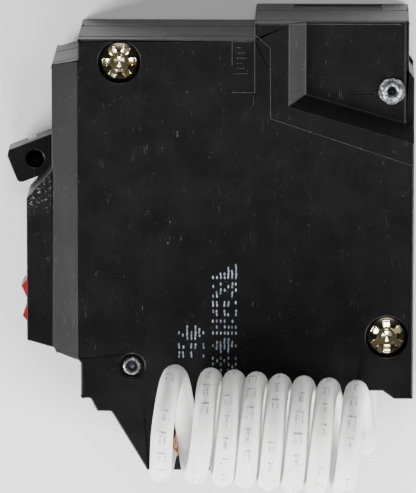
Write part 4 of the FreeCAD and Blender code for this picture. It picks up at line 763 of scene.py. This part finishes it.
def strand_paths():
    """Two fanned bundles of fine strands that leave the lead's cut end, and one stray strand."""
    bundles = (
        (((-7.4, -37.3, 30.9), (-6.3, -37.8, 29.0), (-5.4, -34.6, 27.9), (-4.6, -31.0, 27.6)), 8, 0.50),
        (((-7.4, -37.5, 30.9), (-5.9, -39.2, 28.9), (-5.2, -36.4, 27.6), (-4.1, -32.3, 27.1)), 8, 0.48),
        (((-7.3, -37.7, 30.9), (-5.9, -39.8, 29.6), (-5.7, -38.4, 27.8), (-5.3, -35.0, 27.0)), 1, 0.1),
    )
    paths = []
    for number, (spine, count, spread) in enumerate(bundles):
        for strand in range(count):
            path = []
            for step in range(13):
                share = step / 12
                where = bezier(spine, share)
                angle = 2 * math.pi * strand / max(count - 1, 1) + 2.4 * share + number
                reach = spread * (0.55 + 0.45 * (1 - abs(2 * share - 1))) if strand else 0
                path.append((where.x + reach * math.cos(angle), where.y, where.z + reach * math.sin(angle)))
            trimmed = len(path) - (strand * 5 + number) % 3
            paths.append(path[:trimmed])
    return paths


def bezier(spine, share):
    """A point on the smooth curve that four points control."""
    points = [Vector(point) for point in spine]
    while len(points) > 1:
        points = [first.lerp(second, share) for first, second in zip(points, points[1:])]
    return points[0]


strands = wires("pigtail_strands", strand_paths(), 0.155, finishes["copper"])
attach(strands, "housing")
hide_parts("pigtail_copper_end")
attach(pigtail, "housing")
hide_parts("pigtail_lead", "pigtail_coil")
tuple(mm(*EXIT))


# Moulded lines, painted edge highlights and ink marks -----------------------------------------

FACE = 25.4
WITNESS_LINES = (
    ((8.6, 39.2, FACE), (11.3, 36.9, FACE), (11.4, 23.9, FACE), (24.0, 19.7, FACE), (36.9, 15.4, FACE)),
    ((8.5, 41.2, FACE), (8.5, 28.7, FACE)),
    ((4.4, 38.0, FACE), (8.1, 38.0, FACE)),
    ((4.4, 38.0, FACE), (4.4, 33.6, FACE)),
    ((4.4, 28.7, FACE), (8.5, 28.7, FACE)),
)
# Painted highlights: lighter lines along the top strip's edges, its seam and a tab outline, standing in for
# light caught on those edges.
PAINTED_EDGE_HIGHLIGHTS = (
    ((-23.3, 38.22, 25.3), (8.4, 38.22, 25.3)),
    ((8.6, 41.22, 25.3), (34.9, 41.22, 25.3)),
    ((-23.3, 38.33, 21.8), (8.2, 38.33, 21.8)),
    ((8.6, 41.33, 21.8), (34.9, 41.33, 21.8)),
    ((-7.9, 38.36, 24.2), (-7.9, 38.36, 19.9), (5.0, 38.36, 19.9), (5.0, 38.36, 24.2)),
)
MOULDED_BARS = tuple(
    ((5.2, 36.9 - 0.95 * row, FACE), (5.2 + 1.0 + 0.5 * (row % 3), 36.9 - 0.95 * row, FACE))
    for row in range(6)
)

lines = wires(
    "moulded_lines", WITNESS_LINES + PAINTED_EDGE_HIGHLIGHTS + MOULDED_BARS, 0.045, finishes["rubbed_plastic"],
    sides=6,
)
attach(lines, "housing")

MARKS = {
    "bars": ("#.#.#", "#.#.#", "#.#.#", "#.#.#", "#.#.#", "#.#.#", "#.#.#"),
    "diamond": ("..#..", ".###.", "#####", "#####", "#####", ".###.", "..#.."),
    "steps": ("#....", "##...", "##...", "###..", "####.", "####.", "#####"),
    "blocks": ("##.##", "##.##", ".....", "##.##", "##.##", ".....", "##.##"),
    "waves": ("#..#.", "##.##", ".##.#", "..#..", "#..#.", "##.##", ".##.#"),
    "checks": ("#.#.#", ".#.#.", "#.#.#", ".#.#.", "#.#.#", ".#.#.", "#.#.#"),
}
MARK_ROWS = (
    (-5.6, -20.0, 5.2, 0.40, ("blocks", "diamond")),
    (0.6, -22.6, 4.9, 0.42, ("checks", "diamond", "bars", "blocks", "waves", "steps")),
)


def ink_dots():
    """The places of the code's dots, some of them missing where the ink has worn off."""
    places = []
    count = 0
    for left, low, width, pitch, names in MARK_ROWS:
        for number, name in enumerate(names):
            for row, dots in enumerate(MARKS[name]):
                for column, dot in enumerate(dots):
                    count += 1
                    worn = (count * 7919) % 11 < 2
                    if dot == "#" and not worn:
                        x = left + width * (row + 0.5) / 7 + 0.05 * ((count * 31) % 7 - 3) / 3
                        y = low + number * pitch * 8.2 + column * pitch * 1.35
                        places.append((x, y + 0.05 * ((count * 17) % 5 - 2) / 2, FACE + 0.004))
    return places


def dot_mesh():
    rows = [
        [(radius * math.cos(turn) * 0.9, radius * math.sin(turn) * 1.75, height) for turn in
         [2 * math.pi * index / 8 for index in range(8)]]
        for radius, height in ((0.17, -0.02), (0.19, 0.0), (0.10, 0.014))
    ]
    return lathe(rows, 8)


dots = ink_dots()
ink = standing_set("date_code_dots", dot_mesh(), dots, [0.0] * len(dots), finishes["pale_ink"])
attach(ink, "housing")


# Floor and light ------------------------------------------------------------------------------

def make_floor():
    mesh = bpy.data.meshes.new("floor")
    reach = 2.5
    level = -0.0001
    mesh.from_pydata(
        [(-reach, -reach, level), (reach, -reach, level), (reach, reach, level), (-reach, reach, level)],
        [], [(0, 1, 2, 3)],
    )
    f = Finish("pale_floor")
    cloud = f.noise(0.004, 2)
    finish = f.done(Base_Color=f.mix(cloud, (0.90, 0.90, 0.90), (0.93, 0.93, 0.93)), Roughness=0.9)
    floor = own("floor", mesh, finish)


def softbox(name, place, aim, width, height, power):
    """A rectangular area light at place, facing aim."""
    data = bpy.data.lights.new(name, "AREA")
    data.shape = "RECTANGLE"
    data.size = width
    data.size_y = height
    data.energy = power
    lamp = bpy.data.objects.new(name, data)
    lamp.location = place
    lamp.rotation_euler = (Vector(aim) - Vector(place)).to_track_quat("-Z", "Y").to_euler()
    bpy.context.collection.objects.link(lamp)


make_floor()
softbox("left_softbox", (-1.2, -0.7, 0.68), (0, 0, 0), 0.8, 0.5, 50)
softbox("right_softbox", (1.2, -0.6, 0.66), (0, 0, 0), 0.8, 0.5, 44)
softbox("load_softbox", (0.0, -1.5, 0.85), (0, 0, 0), 0.9, 0.4, 32)
softbox("top_softbox", (0.0, 0.9, 1.5), (0, 0, 0), 0.7, 0.4, 11)

world = bpy.data.worlds.new("studio")
world.use_nodes = True
world.node_tree.nodes["Background"].inputs["Color"].default_value = (1, 1, 1, 1)
world.node_tree.nodes["Background"].inputs["Strength"].default_value = 0.09
bpy.context.scene.world = world
